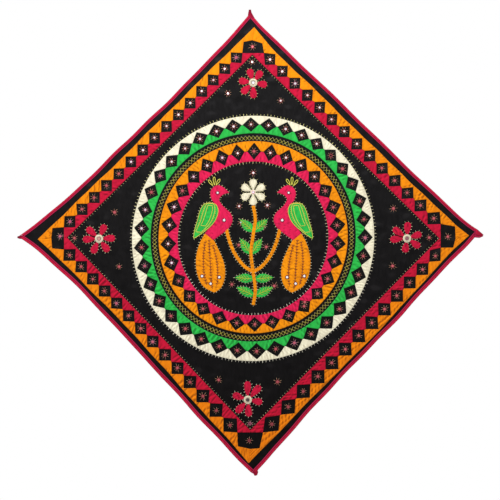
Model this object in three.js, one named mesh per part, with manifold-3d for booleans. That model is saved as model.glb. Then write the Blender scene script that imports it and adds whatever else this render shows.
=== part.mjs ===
// Embroidered wall hanging: a square of black cotton hung by one corner, bound in crimson, with
// toothed strips, toothed rings, flowers and a centre panel of birds laid on it in cut cloth.
//
// Millimetres, +Z up, front facing -Y, +X to the right as seen from the front.
// Plan points are [x, z] pairs measured from the middle of the panel. The exported group moves
// the whole hanging so that its origin is the tip of the top corner, where the wall holds it.
import * as THREE from "three";
import Module from "manifold-3d";

// Thicknesses and gaps
const GAP = 0.3;
const GROUND_THICKNESS = 1.6;
const PATCH_THICKNESS = 1;
const TAPE_THICKNESS = 0.8;

// Depths in front of the middle of the ground cloth
const GROUND_FACE = GROUND_THICKNESS / 2;
const PATCH_BACK = GROUND_FACE + GAP;
const PATCH_FRONT = PATCH_BACK + PATCH_THICKNESS;
const TOP_PATCH_BACK = PATCH_FRONT + GAP;
const TOP_PATCH_FRONT = TOP_PATCH_BACK + PATCH_THICKNESS;

// Shallow waves of the hung cloth, which grow from the top corner to the bottom one
const TOP_TIP = [-2, 426.5];
const PANEL_DROP = 866;
const UPRIGHT_WAVE = { length: 340, height: 1.5, phase: 0.6 };
const SLANTING_WAVE = { length: 300, height: 0.9, slant: 0.4 };

// Corners of the square, clockwise from the top. axis points outwards along the diagonal and cloth
// is where the two folded edges meet. The tape that covers the corner leaves its own side at cover
// and reaches the next side at root, both measured from the corner, and passes the corner in a nib
// between the points of ends. inner and outer are the corners of the toothed band, and the block is
// the plain oblong between the teeth at that corner, whose outer shoulders, the one before and the
// one after the diagonal, each have their distance sideways and outwards. Each petal of the
// corner's flower has its angle and its reach.
const CORNERS = [
  {
    name: "top",
    axis: [0, 1],
    cloth: [-1.1, 420.7],
    nib: { cover: 8, root: 13, ends: [[[-5.2, 420.4], [1.1, 421.1]], [[-4, 426.5], [0, 426.5]]] },
    inner: [2.5, 342.5],
    outer: [6, 394],
    block: { base: 3.2, top: 26.9, before: 18.4, after: 21.7, shoulders: [[16.2, 23.7], [18.5, 21.2]] },
    flower: [4, 290.5],
    petals: [[106, 27], [54, 27], [-9, 26], [-89, 29], [223, 29], [171, 27]],
  },
  {
    name: "right",
    axis: [1, 0],
    cloth: [426.5, 14.8],
    nib: { cover: 6, root: 16, ends: [[[427.8, 12.1], [425, 2]], [[432.3, 8.2], [431.3, 4.7]]] },
    inner: [350.5, 1],
    outer: [405.5, 6.5],
    block: { base: 2.4, top: 30, before: 26.8, after: 17.2, shoulders: [[22.2, 29], [17, 25.6]] },
    flower: [290, 1],
    petals: [[87, 30.5], [18, 28.5], [-34, 29], [262, 26.5], [184, 31.5], [143, 32]],
  },
  {
    name: "bottom",
    axis: [0, -1],
    cloth: [4.6, -438.8],
    nib: { cover: 12, root: 6, ends: [[[13.4, -433.9], [4.1, -436.3]], [[11.5, -439.5], [6.7, -440.5]]] },
    inner: [-1.5, -355.5],
    outer: [-4.5, -417],
    block: { base: 4.2, top: 34.9, before: 23.8, after: 23.9, shoulders: [[17.4, 33.7], [22.8, 30]] },
    flower: [-6, -299],
    petals: [[91, 34.5], [48, 35], [-10, 27.5], [-86, 31.5], [228, 32], [161, 29.5]],
  },
  {
    name: "left",
    axis: [-1, 0],
    cloth: [-432.8, 4.4],
    nib: { cover: 8, root: 6, ends: [[[-430.6, 0.2], [-431.1, 5.8]], [[-434.6, 2], [-434.6, 4.4]]] },
    inner: [-342, 2.5],
    outer: [-396.5, -0.5],
    block: { base: 5.8, top: 29.3, before: 22, after: 19.2, shoulders: [[20, 27.7], [17.6, 27.1]] },
    flower: [-282.5, 0.5],
    petals: [[138, 30.5], [67, 28.5], [2, 30], [-54, 30], [246, 30], [183, 30.5]],
  },
];

// Sides of the square, clockwise, each from its corner to the next. edge and band say how the
// folded edge and the orange strip draw in from the straight line between their corners, tape is
// the width of the binding, tip is how wide the teeth's cut-off tips are, squares counts the black
// squares, and growth and power say how their pitch widens.
const SIDES = [
  {
    name: "upper_right",
    edge: { bow: 5.4, power: 12, skew: -0.37 },
    band: { bow: 5, power: 8, skew: 0.1 },
    tape: 6.2,
    tip: 4.9,
    squares: { count: 14, growth: 0.03, power: 2 },
  },
  {
    name: "lower_right",
    edge: { bow: 2.4, power: 1.8, skew: -1.6 },
    band: { bow: -0.5, power: 8, skew: 0 },
    tape: 7.2,
    tip: 2.8,
    squares: { count: 13, growth: 0.06, power: 6 },
  },
  {
    name: "lower_left",
    edge: { bow: 8, power: 3.4, skew: -1.3 },
    band: { bow: 7, power: 3, skew: -0.35 },
    tape: 7.2,
    tip: 2.8,
    squares: { count: 14, growth: -0.24, power: 1.4 },
  },
  {
    name: "upper_left",
    edge: { bow: 11.3, power: 3.8, skew: 0.17 },
    band: { bow: 0.6, power: 8, skew: 0 },
    tape: 6.2,
    tip: 3.6,
    squares: { count: 15, growth: -0.04, power: 2 },
  },
];

// Toothed strips and rings
const STRIP_RIM = 3;
const TOOTH_SLOPE = 0.29;
const HAND = { size: 0.7, step: 12.9, series: 7.3 };
const TIP_SERIES = 0.5;
const VALLEY_SERIES = 0.25;
const WIDTH_SERIES = 0.8;
const DISC_CENTRE = [4, 1];
// Each ring has its two edges, which sit a little too high where they are lifted, and teeth that
// stray from an even pitch in waves of so many turns round the ring. tip is their tips' width.
const OUTER_RING = {
  teeth: 38,
  tip: 2.5,
  start: 2,
  drift: [{ turns: 1, size: 2.8, at: -7 }, { turns: 2, size: 0.6, at: 25 }],
  outside: { radius: 226.7, lift: 0 },
  inside: { radius: 192.1, lift: 1.9 },
};
const INNER_RING = {
  teeth: 30,
  tip: 4.2,
  start: 0.1,
  drift: [{ turns: 1, size: 2.8, at: -19 }, { turns: 2, size: 1.7, at: 44 }],
  outside: { radius: 177.4, lift: 2.1 },
  inside: { radius: 141.4, lift: 0 },
};
const RING_OVAL = { size: 1.9, turn: 70 };

// Ground
const GROUND_STEPS = 20;
const CORNER_TUCK = 3.5;
const CORNER_TUCK_FADE = 9;

// Binding
const CORNER_LOOK = 0.02;
const FOLD_ROUND = 0.9;
const FOLD_SIDE = 0.45;
const FOLD_SHARE = 0.25;
const COVER_SLOT = 0.12;
const NIB_SLOT = 0.7;
const NIB_THINNING = 0.7;
const TAPE_STATIONS = 14;
const TAPE_EASE = 2;

// Flowers
const CORNER_PETAL = { halfWidth: 6.8, hub: 5, neck: 1.7 };
const WHITE_PETAL = { halfWidth: 7.1, hub: 4.6, neck: 1.7 };
const PETAL = { fullness: 1.74, rise: 0.85, roundness: 2.6 };
const PETAL_STATIONS = [0.16, 0.36, 0.56, 0.76, 0.92];
const ROUNDEL_RADIUS = 7.7;
const ROUNDEL_SIDES = 16;
const WHITE_FLOWER_CENTRE = [0, 86];
const WHITE_PETALS = [90, 30, -30, -90, 210, 150].map((angle) => [angle, 24.5]);

// Centre panel, for the bird on the right, from the middle of the disc
const STATIONS = { stem: 15, branch: 8, body: 18, wing: 10, tail: 10 };
const STEM_HALF_WIDTH = 3.2;
const STEM_LINE = [[0, -124], [4, -96], [0, -62], [-4, -28], [0, 6], [4, 36], [0, 61]];
const BRANCH_LINE = [[0, -62], [16, -52], [32, -32], [43, -8], [50, 18]];
const LEAF_HALF_WIDTH = 8.6;
const LEAF_FULLNESS = 0.85;
const LEAF_STATIONS = [0.14, 0.34, 0.56, 0.78];
// Leaves in pairs: where they leave the stem, as a share of its length, and their rise.
const LEAVES = [
  { name: "lowest", share: 0.11, angle: 26, length: 38 },
  { name: "low", share: 0.27, angle: 4, length: 36 },
  { name: "middle", share: 0.49, angle: 56, length: 36 },
  { name: "high", share: 0.7, angle: 42, length: 35 },
];
const BODY_FRONT = [
  [44, 85], [57, 80.5], [63, 71], [55, 59], [42, 47], [38, 34], [44, 20], [57, 9], [75, -4],
];
const BODY_BACK = [
  [44, 85], [58, 97], [70, 98], [79, 88], [78, 74], [70, 60], [74, 40], [82, 22], [90, 9],
];
const WING_INNER = [[78, 66], [68, 62], [64.5, 49], [72, 30], [90, 13], [111, -1]];
const WING_OUTER = [[78, 66], [91, 64], [99, 52], [104, 34], [109, 16], [111, -1]];
const TAIL_INNER = [[76, 2], [64, -21], [54, -46], [52, -70], [59, -91], [72, -101]];
const TAIL_OUTER = [[89, 10], [99, -8], [106, -34], [105, -62], [94, -88], [72, -101]];

const COTTON_ROUGHNESS = 0.9;
const SHADES = {
  ground: 0x1d1b1e,
  binding: 0xb81843,
  orange: 0xf98f0a,
  crimson: 0xc8193f,
  cream: 0xf0e4c6,
  green: 0x2bb54c,
  pink: 0xe5205f,
};

// Plan helpers
const plus = ([ax, az], [bx, bz], times = 1) => [ax + bx * times, az + bz * times];
const minus = (a, b) => plus(a, b, -1);
const mix = (a, b, share) => plus(a, minus(b, a), share);
const dot = ([ax, az], [bx, bz]) => ax * bx + az * bz;
const unit = (v) => plus([0, 0], v, 1 / Math.hypot(...v));
const clockwiseTurn = ([x, z]) => [z, -x];
const polar = (degrees, radius) => {
  const angle = THREE.MathUtils.degToRad(degrees);
  return [radius * Math.cos(angle), radius * Math.sin(angle)];
};

// How far back the hung cloth stands at a plan point.
function swell([x, z]) {
  const share = (TOP_TIP[1] - z) / PANEL_DROP;
  const upright = Math.sin((2 * Math.PI * x) / UPRIGHT_WAVE.length + UPRIGHT_WAVE.phase);
  const slanting = Math.sin((2 * Math.PI * (z + SLANTING_WAVE.slant * x)) / SLANTING_WAVE.length);
  return share * (UPRIGHT_WAVE.height * upright + SLANTING_WAVE.height * slanting);
}

// The small unevenness that hand cutting leaves, the same each time for the same place.
function handShift(index, series) {
  return HAND.size * Math.sin(index * HAND.step + series * HAND.series);
}

function geometryOf(positions, triangles) {
  return new THREE.BufferGeometry()
    .setAttribute("position", new THREE.Float32BufferAttribute(positions.flat(), 3))
    .setIndex(triangles.flat());
}

// A plan outline's signed area, above zero where it runs anticlockwise as seen from the front.
function signedArea(loop) {
  return loop.reduce((sum, [x, z], i) => {
    const [nextX, nextZ] = loop[(i + 1) % loop.length];
    return sum + (x * nextZ - nextX * z) / 2;
  }, 0);
}

// A sheet of cloth made of convex plan cells that share their corners. Its two faces follow the
// swell of the panel at two depths, and its rim is closed by walls. margin grows the outline.
function sheetGeometry(cells, back, front, margin = 0) {
  const ids = new Map();
  const plan = [];
  const idOf = (point) => {
    const key = point.map((value) => value.toFixed(3)).join();
    if (!ids.has(key)) ids.set(key, plan.push(point) - 1);
    return ids.get(key);
  };
  const loops = cells.map((cell) => (signedArea(cell) < 0 ? [...cell].reverse() : cell).map(idOf));
  const faces = loops.flatMap((loop) => loop.slice(2).map((last, i) => [loop[0], loop[i + 1], last]));
  const edges = faces.flatMap(([a, b, c]) => [[a, b], [b, c], [c, a]]);
  const known = new Set(edges.map(([a, b]) => a + ">" + b));
  const rim = edges.filter(([a, b]) => !known.has(b + ">" + a));
  const outwards = plan.map(() => [0, 0]);
  for (const [a, b] of rim) {
    const normal = clockwiseTurn(unit(minus(plan[b], plan[a])));
    outwards[a] = plus(outwards[a], normal);
    outwards[b] = plus(outwards[b], normal);
  }
  const grown = plan.map((point, i) => {
    const onRim = Math.hypot(...outwards[i]) > 0;
    return margin && onRim ? plus(point, unit(outwards[i]), margin) : point;
  });
  const layer = (depth) => grown.map(([x, z], i) => [x, swell(plan[i]) - depth, z]);
  const count = plan.length;
  const walls = rim.flatMap(([a, b]) => [[b, a, a + count], [b, a + count, b + count]]);
  const backFaces = faces.map(([a, b, c]) => [a + count, c + count, b + count]);
  return geometryOf([...layer(front), ...layer(back)], [...faces, ...backFaces, ...walls]);
}

const patch = (cells) => sheetGeometry(cells, PATCH_BACK, PATCH_FRONT);

// Cells between rows of plan points. Rows of one point make the sheet taper to a tip.
function cellsOfRows(rows) {
  return rows.slice(1).flatMap((row, i) => {
    const before = rows[i];
    if (before.length === 1 || row.length === 1) return [[...before, ...[...row].reverse()]];
    return row.slice(1).map((point, j) => [before[j], before[j + 1], point, row[j]]);
  });
}

// Folded edge and toothed band, in plan

const sides = SIDES.map((side, i) => {
  const from = CORNERS[i];
  const to = CORNERS[(i + 1) % CORNERS.length];
  const along = unit(minus(to.inner, from.inner));
  return { ...side, index: i, from, to, along, out: clockwiseTurn(along).map((value) => -value) };
});

// How far a line is drawn in at u along it: not at its ends, most in between, and more towards one
// end where it is skewed.
function drawnIn({ bow, power, skew }, u) {
  return bow * (1 - Math.abs(2 * u - 1) ** power) * (1 + skew * (1 - 2 * u));
}

// A point on the folded outer edge of a side, moved inwards by the given depth.
function edgePoint(side, u, depth = 0) {
  const chord = minus(side.to.cloth, side.from.cloth);
  const inwards = clockwiseTurn(unit(chord));
  return plus(plus(side.from.cloth, chord, u), inwards, drawnIn(side.edge, u) + depth);
}

// A point of the toothed band: s along the inner line of the side, t outwards from it.
function bandPoint(side, s, t) {
  return plus(plus(side.from.inner, side.along, s), side.out, t);
}

// Where a plan point lies in a side's own s and t.
function bandPlace(side, point) {
  const offset = minus(point, side.from.inner);
  return [dot(offset, side.along), dot(offset, side.out)];
}

// The width of the toothed band at s, between its two straight edges.
function bandWidth(side, s) {
  const [startS, startT] = bandPlace(side, side.from.outer);
  const [endS, endT] = bandPlace(side, side.to.outer);
  const u = THREE.MathUtils.clamp((s - startS) / (endS - startS), 0, 1);
  return startT + (endT - startT) * u - drawnIn(side.band, u);
}

// A point of a corner's block: outwards along the diagonal, then sideways, clockwise if above zero.
function blockPoint(corner, outwards, sideways) {
  return plus(plus(corner.inner, corner.axis, outwards), clockwiseTurn(corner.axis), sideways);
}

// The tips where the teeth of a side meet, from the block of one corner to that of the next, and
// the valleys between them, which are the inner and outer corners of the black squares.
function bandLayout(side) {
  const startTip = blockPoint(side.from, side.from.block.base, side.from.block.after);
  const endTip = blockPoint(side.to, side.to.block.base, -side.to.block.before);
  const [first] = bandPlace(side, startTip);
  const [last] = bandPlace(side, endTip);
  const { count, growth, power } = side.squares;
  const places = Array.from({ length: count + 1 }, (_, i) => {
    const share = i / count;
    const spread = share + growth * (share ** power - share);
    const inside = i > 0 && i < count;
    return first + (last - first) * spread + (inside ? handShift(i, side.index) : 0);
  });
  const tips = places.slice(1, -1).map((s, i) => {
    const middle = bandWidth(side, s) / 2;
    const half = (side.tip + handShift(i, side.index + WIDTH_SERIES)) / 2;
    const skew = TOOTH_SLOPE * half * Math.sign(handShift(i, side.index + TIP_SERIES));
    return { from: [s - half, middle + skew], to: [s + half, middle - skew] };
  });
  const valleys = places.slice(1).map((s, i) => {
    const centre = (s + places[i]) / 2 + handShift(i, side.index + VALLEY_SERIES);
    const width = bandWidth(side, centre);
    return { s: centre, width, inner: STRIP_RIM, outer: width - STRIP_RIM };
  });
  return { startTip, endTip, tips, valleys };
}

// The inner, crimson strip of a side: a straight edge towards the middle, teeth outwards.
function innerStripCells(side) {
  const { startTip, endTip, tips, valleys } = bandLayout(side);
  const at = ([s, t]) => bandPoint(side, s, t - GAP / 2);
  const edges = valleys.map(({ s }) => bandPoint(side, s, 0));
  const hollows = valleys.map(({ s, inner }) => bandPoint(side, s, inner));
  const [mitreStart, mitreEnd] = [side.from, side.to].map((corner, i) => {
    const shift = i ? -GAP : GAP;
    const onDiagonal = (rise) => plus(corner.inner, corner.axis, rise);
    return [0, corner.block.base].map((rise) => plus(onDiagonal(rise), side.along, shift));
  });
  const between = tips.map(({ from, to }, i) => [
    edges[i], edges[i + 1], hollows[i + 1], at(to), at(from), hollows[i],
  ]);
  const lastHollow = hollows.length - 1;
  return [
    [mitreStart[0], edges[0], hollows[0], plus(startTip, side.out, -GAP / 2), mitreStart[1]],
    ...between,
    [edges[lastHollow], mitreEnd[0], mitreEnd[1], plus(endTip, side.out, -GAP / 2), hollows[lastHollow]],
  ];
}

// The outer, orange strip of a side: a straight edge outwards, teeth towards the middle, and its
// two ends mitred round the corner blocks.
function outerStripCells(side) {
  const { startTip, endTip, tips, valleys } = bandLayout(side);
  const at = ([s, t]) => bandPoint(side, s, t + GAP / 2);
  const edges = valleys.map(({ s, width }) => bandPoint(side, s, width));
  const hollows = valleys.map(({ s, outer }) => bandPoint(side, s, outer));
  const [startEnd, finishEnd] = [side.from, side.to].map((corner, i) => {
    const [sideways, outwards] = corner.block.shoulders[i ? 0 : 1];
    const shift = i ? -GAP : GAP;
    const shoulder = blockPoint(corner, outwards, i ? -sideways : sideways);
    const [shoulderS] = bandPlace(side, shoulder);
    return {
      tip: plus(corner.outer, side.along, shift),
      blockTop: plus(blockPoint(corner, corner.block.top, 0), side.along, shift),
      shoulder,
      edge: bandPoint(side, shoulderS, bandWidth(side, shoulderS)),
    };
  });
  const between = tips.map(({ from, to }, i) => [
    edges[i], hollows[i], at(from), at(to), hollows[i + 1], edges[i + 1],
  ]);
  const lastHollow = hollows.length - 1;
  const raised = (tip) => plus(tip, side.out, GAP / 2);
  return [
    [startEnd.tip, startEnd.blockTop, startEnd.shoulder, startEnd.edge],
    [startEnd.edge, startEnd.shoulder, raised(startTip), hollows[0], edges[0]],
    ...between,
    [edges[lastHollow], hollows[lastHollow], raised(endTip), finishEnd.shoulder, finishEnd.edge],
    [finishEnd.edge, finishEnd.shoulder, finishEnd.blockTop, finishEnd.tip],
  ];
}

// A toothed ring. ring gives both edges of the band, and facing is 1 for the strip with its
// straight edge outside and -1 for the strip with its straight edge inside.
function ringCells(ring, facing) {
  const middle = {
    radius: (ring.outside.radius + ring.inside.radius) / 2,
    lift: (ring.outside.lift + ring.inside.lift) / 2,
  };
  const straight = facing > 0 ? ring.outside : ring.inside;
  const halfTip = (i) => {
    const width = ring.tip + handShift(i, ring.teeth + WIDTH_SERIES);
    return THREE.MathUtils.radToDeg(width / 2 / middle.radius);
  };
  const wave = (degrees, turns, at) => Math.cos(THREE.MathUtils.degToRad(turns * (degrees - at)));
  const at = (degrees, edge, inwards) => {
    const lifted = edge.lift * wave(degrees, 1, 90) + RING_OVAL.size * wave(degrees, 2, RING_OVAL.turn);
    return plus(DISC_CENTRE, polar(degrees, edge.radius + lifted - facing * inwards));
  };
  const tipAngle = (i) => {
    const even = (i * 360) / ring.teeth;
    const strayed = ring.drift.reduce((sum, part) => sum + part.size * wave(even, part.turns, part.at), 0);
    const shift = THREE.MathUtils.radToDeg(handShift(i % ring.teeth, ring.teeth) / middle.radius);
    return ring.start + even + strayed + shift;
  };
  return Array.from({ length: ring.teeth }, (_, i) => {
    const tip = tipAngle(i);
    const valleyBefore = (tip + (i ? tipAngle(i - 1) : tipAngle(ring.teeth - 1) - 360)) / 2;
    const valleyAfter = (tip + tipAngle(i + 1)) / 2;
    return [
      at(valleyBefore, straight, 0),
      at(valleyBefore, straight, STRIP_RIM),
      at(tip - halfTip(i), middle, -GAP / 2),
      at(tip + halfTip(i), middle, -GAP / 2),
      at(valleyAfter, straight, STRIP_RIM),
      at(valleyAfter, straight, 0),
    ];
  });
}

// Half the width of a petal, from its narrow neck at 0 to its round end at 1.
const petalShape = (share) => PETAL.fullness * share ** PETAL.rise * Math.sqrt(1 - share ** PETAL.roundness);

// A flower of petals that meet in a small hub under its roundel. Where two petals crowd each
// other, each ends just short of the line halfway between them.
function flowerCells(centre, petals, { halfWidth, hub, neck }) {
  const halfTurn = THREE.MathUtils.radToDeg(Math.asin(neck / hub));
  const hubReach = Math.sqrt(hub ** 2 - neck ** 2);
  const round = petals.map(([angle, reach]) => [(angle + 360) % 360, reach]).sort(([a], [b]) => a - b);
  const necks = round.map(([angle]) => [
    plus(centre, polar(angle - halfTurn, hub)),
    plus(centre, polar(angle + halfTurn, hub)),
  ]);
  const cut = round.flatMap(([angle, reach], i) => {
    const [beforeAngle] = round.at(i - 1);
    const [afterAngle] = round[(i + 1) % round.length];
    const turns = [angle - beforeAngle, afterAngle - angle].map((turn) => (turn + 360) % 360);
    const rows = PETAL_STATIONS.map((share) => {
      const along = hubReach + (reach - hubReach) * share;
      const spine = plus(centre, polar(angle, along));
      return turns.map((turn, j) => {
        const room = along * Math.tan(THREE.MathUtils.degToRad(turn / 2)) - GAP;
        return plus(spine, polar(angle + (j ? 90 : -90), Math.min(halfWidth * petalShape(share), room)));
      });
    });
    return cellsOfRows([necks[i], ...rows, [plus(centre, polar(angle, reach))]]);
  });
  return [necks.flat(), ...cut];
}

// A round piece that covers the hub of a corner flower.
function roundelCells(centre) {
  const step = 360 / ROUNDEL_SIDES;
  return [Array.from({ length: ROUNDEL_SIDES }, (_, i) => plus(centre, polar(i * step, ROUNDEL_RADIUS)))];
}

const smoothLine = (line) => new THREE.SplineCurve(line.map((point) => new THREE.Vector2(...point)));

// A pointed leaf along its midrib, from the middle of the stem.
function leafCells({ share, angle, length }, mirror) {
  const base = smoothLine(STEM_LINE).getPoint(share).toArray();
  const heading = mirror > 0 ? angle : 180 - angle;
  const rows = LEAF_STATIONS.map((place) => {
    const spine = plus(base, polar(heading, length * place));
    const across = polar(heading + 90, LEAF_HALF_WIDTH * Math.sin(Math.PI * place ** LEAF_FULLNESS));
    return [minus(spine, across), plus(spine, across)];
  });
  return cellsOfRows([[base], ...rows, [plus(base, polar(heading, length))]]);
}

// A strip of even width along a smooth line.
function stripCells(line, halfWidth, stations) {
  const curve = smoothLine(line);
  const rows = Array.from({ length: stations + 1 }, (_, i) => {
    const { x, y } = curve.getPoint(i / stations);
    const tangent = curve.getTangent(i / stations);
    const across = [-tangent.y, tangent.x];
    return [plus([x, y], across, -halfWidth), plus([x, y], across, halfWidth)];
  });
  return cellsOfRows(rows);
}

// A piece between two smooth lines, with a row of points through its middle.
function betweenCells(lineA, lineB, stations) {
  const [curveA, curveB] = [lineA, lineB].map(smoothLine);
  const rows = Array.from({ length: stations + 1 }, (_, i) => {
    const a = curveA.getPoint(i / stations).toArray();
    const b = curveB.getPoint(i / stations).toArray();
    return Math.hypot(...minus(a, b)) < GAP ? [a] : [a, mix(a, b, 0.5), b];
  });
  return cellsOfRows(rows);
}

// Pieces of the centre panel lie round the middle of the disc, the left ones as a mirror image.
function onDisc(cells, mirror = 1) {
  return cells.map((cell) => cell.map(([x, z]) => plus(DISC_CENTRE, [mirror * x, z])));
}

// Steps along a side that are shorter towards its ends, where the edge bends most.
function easedSteps(count) {
  return Array.from({ length: count + 1 }, (_, i) => {
    const even = i / count;
    return (even + (1 - Math.cos(Math.PI * even)) / 2) / 2;
  });
}

// The ground cloth: a grid stretched between the four folded edges, inside the binding.
function groundCells() {
  const steps = easedSteps(GROUND_STEPS);
  const inset = TAPE_THICKNESS + GAP;
  const edge = (side, u) => {
    const length = Math.hypot(...minus(side.to.cloth, side.from.cloth));
    const fromCorner = Math.min(u, 1 - u) * length;
    return edgePoint(side, u, inset + CORNER_TUCK * Math.exp(-((fromCorner / CORNER_TUCK_FADE) ** 2)));
  };
  const [upperRight, lowerRight, lowerLeft, upperLeft] = sides;
  const tuck = inset + CORNER_TUCK;
  const corners = sides.map((side) => {
    const before = sides[(side.index + 3) % sides.length];
    return plus(edgePoint(side, 0, tuck), minus(edgePoint(before, 1, tuck), side.from.cloth));
  });
  const [top, right, bottom, left] = corners;
  const snapped = (side, u, start, end) => (u === 0 ? start : u === 1 ? end : edge(side, u));
  const rows = steps.map((v) => {
    return steps.map((u) => {
      const acrossTop = snapped(upperRight, u, top, right);
      const acrossBottom = snapped(lowerLeft, 1 - u, bottom, left);
      const downLeft = snapped(upperLeft, 1 - v, left, top);
      const downRight = snapped(lowerRight, v, right, bottom);
      const ruled = plus(mix(acrossTop, acrossBottom, v), mix(downLeft, downRight, u));
      return minus(ruled, mix(mix(top, right, u), mix(left, bottom, u), v));
    });
  });
  return cellsOfRows(rows);
}

// A strip of folded tape round one side, from a butt end at its first corner to its last corner,
// which it covers and passes in a small pressed nib. Its section is a U that holds the ground.
function bindingGeometry(side) {
  const next = sides[(side.index + 1) % sides.length];
  const before = sides[(side.index + 3) % sides.length];
  const lengthOf = ({ from, to }) => Math.hypot(...minus(to.cloth, from.cloth));
  const start = side.from.nib.root / lengthOf(side);
  const cover = side.to.nib.cover / lengthOf(side);
  const innerCorner = (first, second) => {
    const [nearA, farA] = [1, 2].map((times) => edgePoint(first, 1 - CORNER_LOOK * times, first.tape));
    const [nearB, farB] = [1, 2].map((times) => edgePoint(second, CORNER_LOOK * times, second.tape));
    const alongA = unit(minus(nearA, farA));
    const inB = clockwiseTurn(unit(minus(nearB, farB)));
    return plus(nearA, alongA, dot(minus(nearB, nearA), inB) / dot(alongA, inB));
  };
  const fullDepth = GROUND_FACE + GAP + TAPE_THICKNESS;
  const station = (outer, inner, slotShare = 0, depth = fullDepth, slot = GROUND_FACE + GAP) => {
    const width = Math.hypot(...minus(inner, outer));
    const inwards = unit(minus(inner, outer));
    const slotEnd = Math.min(TAPE_THICKNESS, width * FOLD_SHARE) + slotShare * width;
    const rounded = Math.min(FOLD_ROUND, width * FOLD_SHARE);
    const half = [
      [0, depth * FOLD_SIDE],
      [rounded, depth],
      [width, depth],
      [width, slot],
      [slotEnd, slot],
    ];
    const section = [...half, ...[...half].reverse().map(([d, y]) => [d, -y])];
    return section.map(([d, y]) => {
      const point = plus(outer, inwards, d);
      return [point[0], swell(point) - y, point[1]];
    });
  };
  const buttInner = plus(innerCorner(before, side), side.along, GAP);
  const buttOuter = plus(edgePoint(side, start), side.along, GAP);
  const coverOuter = edgePoint(side, 1 - cover);
  const coverOnwards = plus(coverOuter, side.along, GAP);
  const nibBase = plus(edgePoint(next, side.to.nib.root / lengthOf(next)), next.along, -GAP / 2);
  const nibStations = side.to.nib.ends.map(([outer, inner], i) => {
    return station(outer, inner, NIB_SLOT, fullDepth * NIB_THINNING ** (i + 1), GAP / 2);
  });
  const run = easedSteps(TAPE_STATIONS).map((step) => {
    const u = TAPE_EASE * start + (1 - TAPE_EASE * (start + cover)) * step;
    return station(edgePoint(side, u), edgePoint(side, u, side.tape));
  });
  const stations = [
    station(buttOuter, buttInner),
    ...run,
    station(coverOuter, innerCorner(side, next)),
    station(coverOnwards, nibBase, COVER_SLOT),
    ...nibStations,
  ];
  return sweptGeometry(stations);
}

// A closed solid through sections of ten points, the halves of a folded tape.
function sweptGeometry(stations) {
  const count = stations[0].length;
  const rings = stations.length - 1;
  const walls = Array.from({ length: rings }, (_, i) =>
    Array.from({ length: count }, (_, j) => {
      const a = i * count + j;
      const b = i * count + ((j + 1) % count);
      return [[a, b, b + count], [a, b + count, a + count]];
    }).flat(),
  ).flat();
  const cap = [[1, 2, 3], [1, 3, 4], [0, 1, 4], [0, 4, 5], [0, 5, 9], [9, 5, 8], [5, 6, 8], [6, 7, 8]];
  const startCap = cap.map(([a, b, c]) => [a, c, b]);
  const endCap = cap.map((triangle) => triangle.map((id) => id + rings * count));
  return geometryOf(stations.flat(), [...walls, ...startCap, ...endCap]);
}

// Cutting one piece back from another
const wasm = await Module();
wasm.setup();

function solidOf(geometry) {
  const vertProperties = geometry.attributes.position.array;
  const triVerts = new Uint32Array(geometry.index.array);
  return new wasm.Manifold(new wasm.Mesh({ numProp: 3, vertProperties, triVerts }));
}

// The first piece without what lies under the cutters, each grown by a gap and made deeper.
function cutBack(cells, cutters) {
  const reach = PATCH_THICKNESS;
  const tool = (cutter) => solidOf(sheetGeometry(cutter, PATCH_BACK - reach, PATCH_FRONT + reach, GAP));
  const { vertProperties, triVerts } = cutters
    .reduce((solid, cutter) => solid.subtract(tool(cutter)), solidOf(patch(cells)))
    .getMesh();
  return new THREE.BufferGeometry()
    .setAttribute("position", new THREE.BufferAttribute(vertProperties, 3))
    .setIndex([...triVerts]);
}

// The finished pieces
const hanging = new THREE.Group();
hanging.position.set(-TOP_TIP[0], 0, -TOP_TIP[1]);

const cottons = Object.fromEntries(
  Object.entries(SHADES).map(([name, color]) => [
    name,
    new THREE.MeshStandardMaterial({ color, roughness: COTTON_ROUGHNESS, metalness: 0 }),
  ]),
);

function add(name, geometry, cotton) {
  const mesh = new THREE.Mesh(geometry, cottons[cotton]);
  mesh.name = name;
  hanging.add(mesh);
}

function addGround() {
  add("ground_panel", sheetGeometry(groundCells(), -GROUND_FACE, GROUND_FACE), "ground");
}

function addBorder() {
  for (const side of sides) {
    add("binding_" + side.name, bindingGeometry(side), "binding");
    add("orange_strip_" + side.name, patch(outerStripCells(side)), "orange");
    add("crimson_strip_" + side.name, patch(innerStripCells(side)), "crimson");
  }
}

function addRings() {
  add("cream_ring", patch(ringCells(OUTER_RING, 1)), "cream");
  add("green_ring", patch(ringCells(OUTER_RING, -1)), "green");
  add("orange_ring", patch(ringCells(INNER_RING, 1)), "orange");
  add("pink_ring", patch(ringCells(INNER_RING, -1)), "pink");
}

function addCornerFlowers() {
  for (const { name, flower, petals } of CORNERS) {
    add("flower_" + name, patch(flowerCells(flower, petals, CORNER_PETAL)), "crimson");
    add("roundel_" + name, sheetGeometry(roundelCells(flower), TOP_PATCH_BACK, TOP_PATCH_FRONT), "cream");
  }
}

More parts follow.
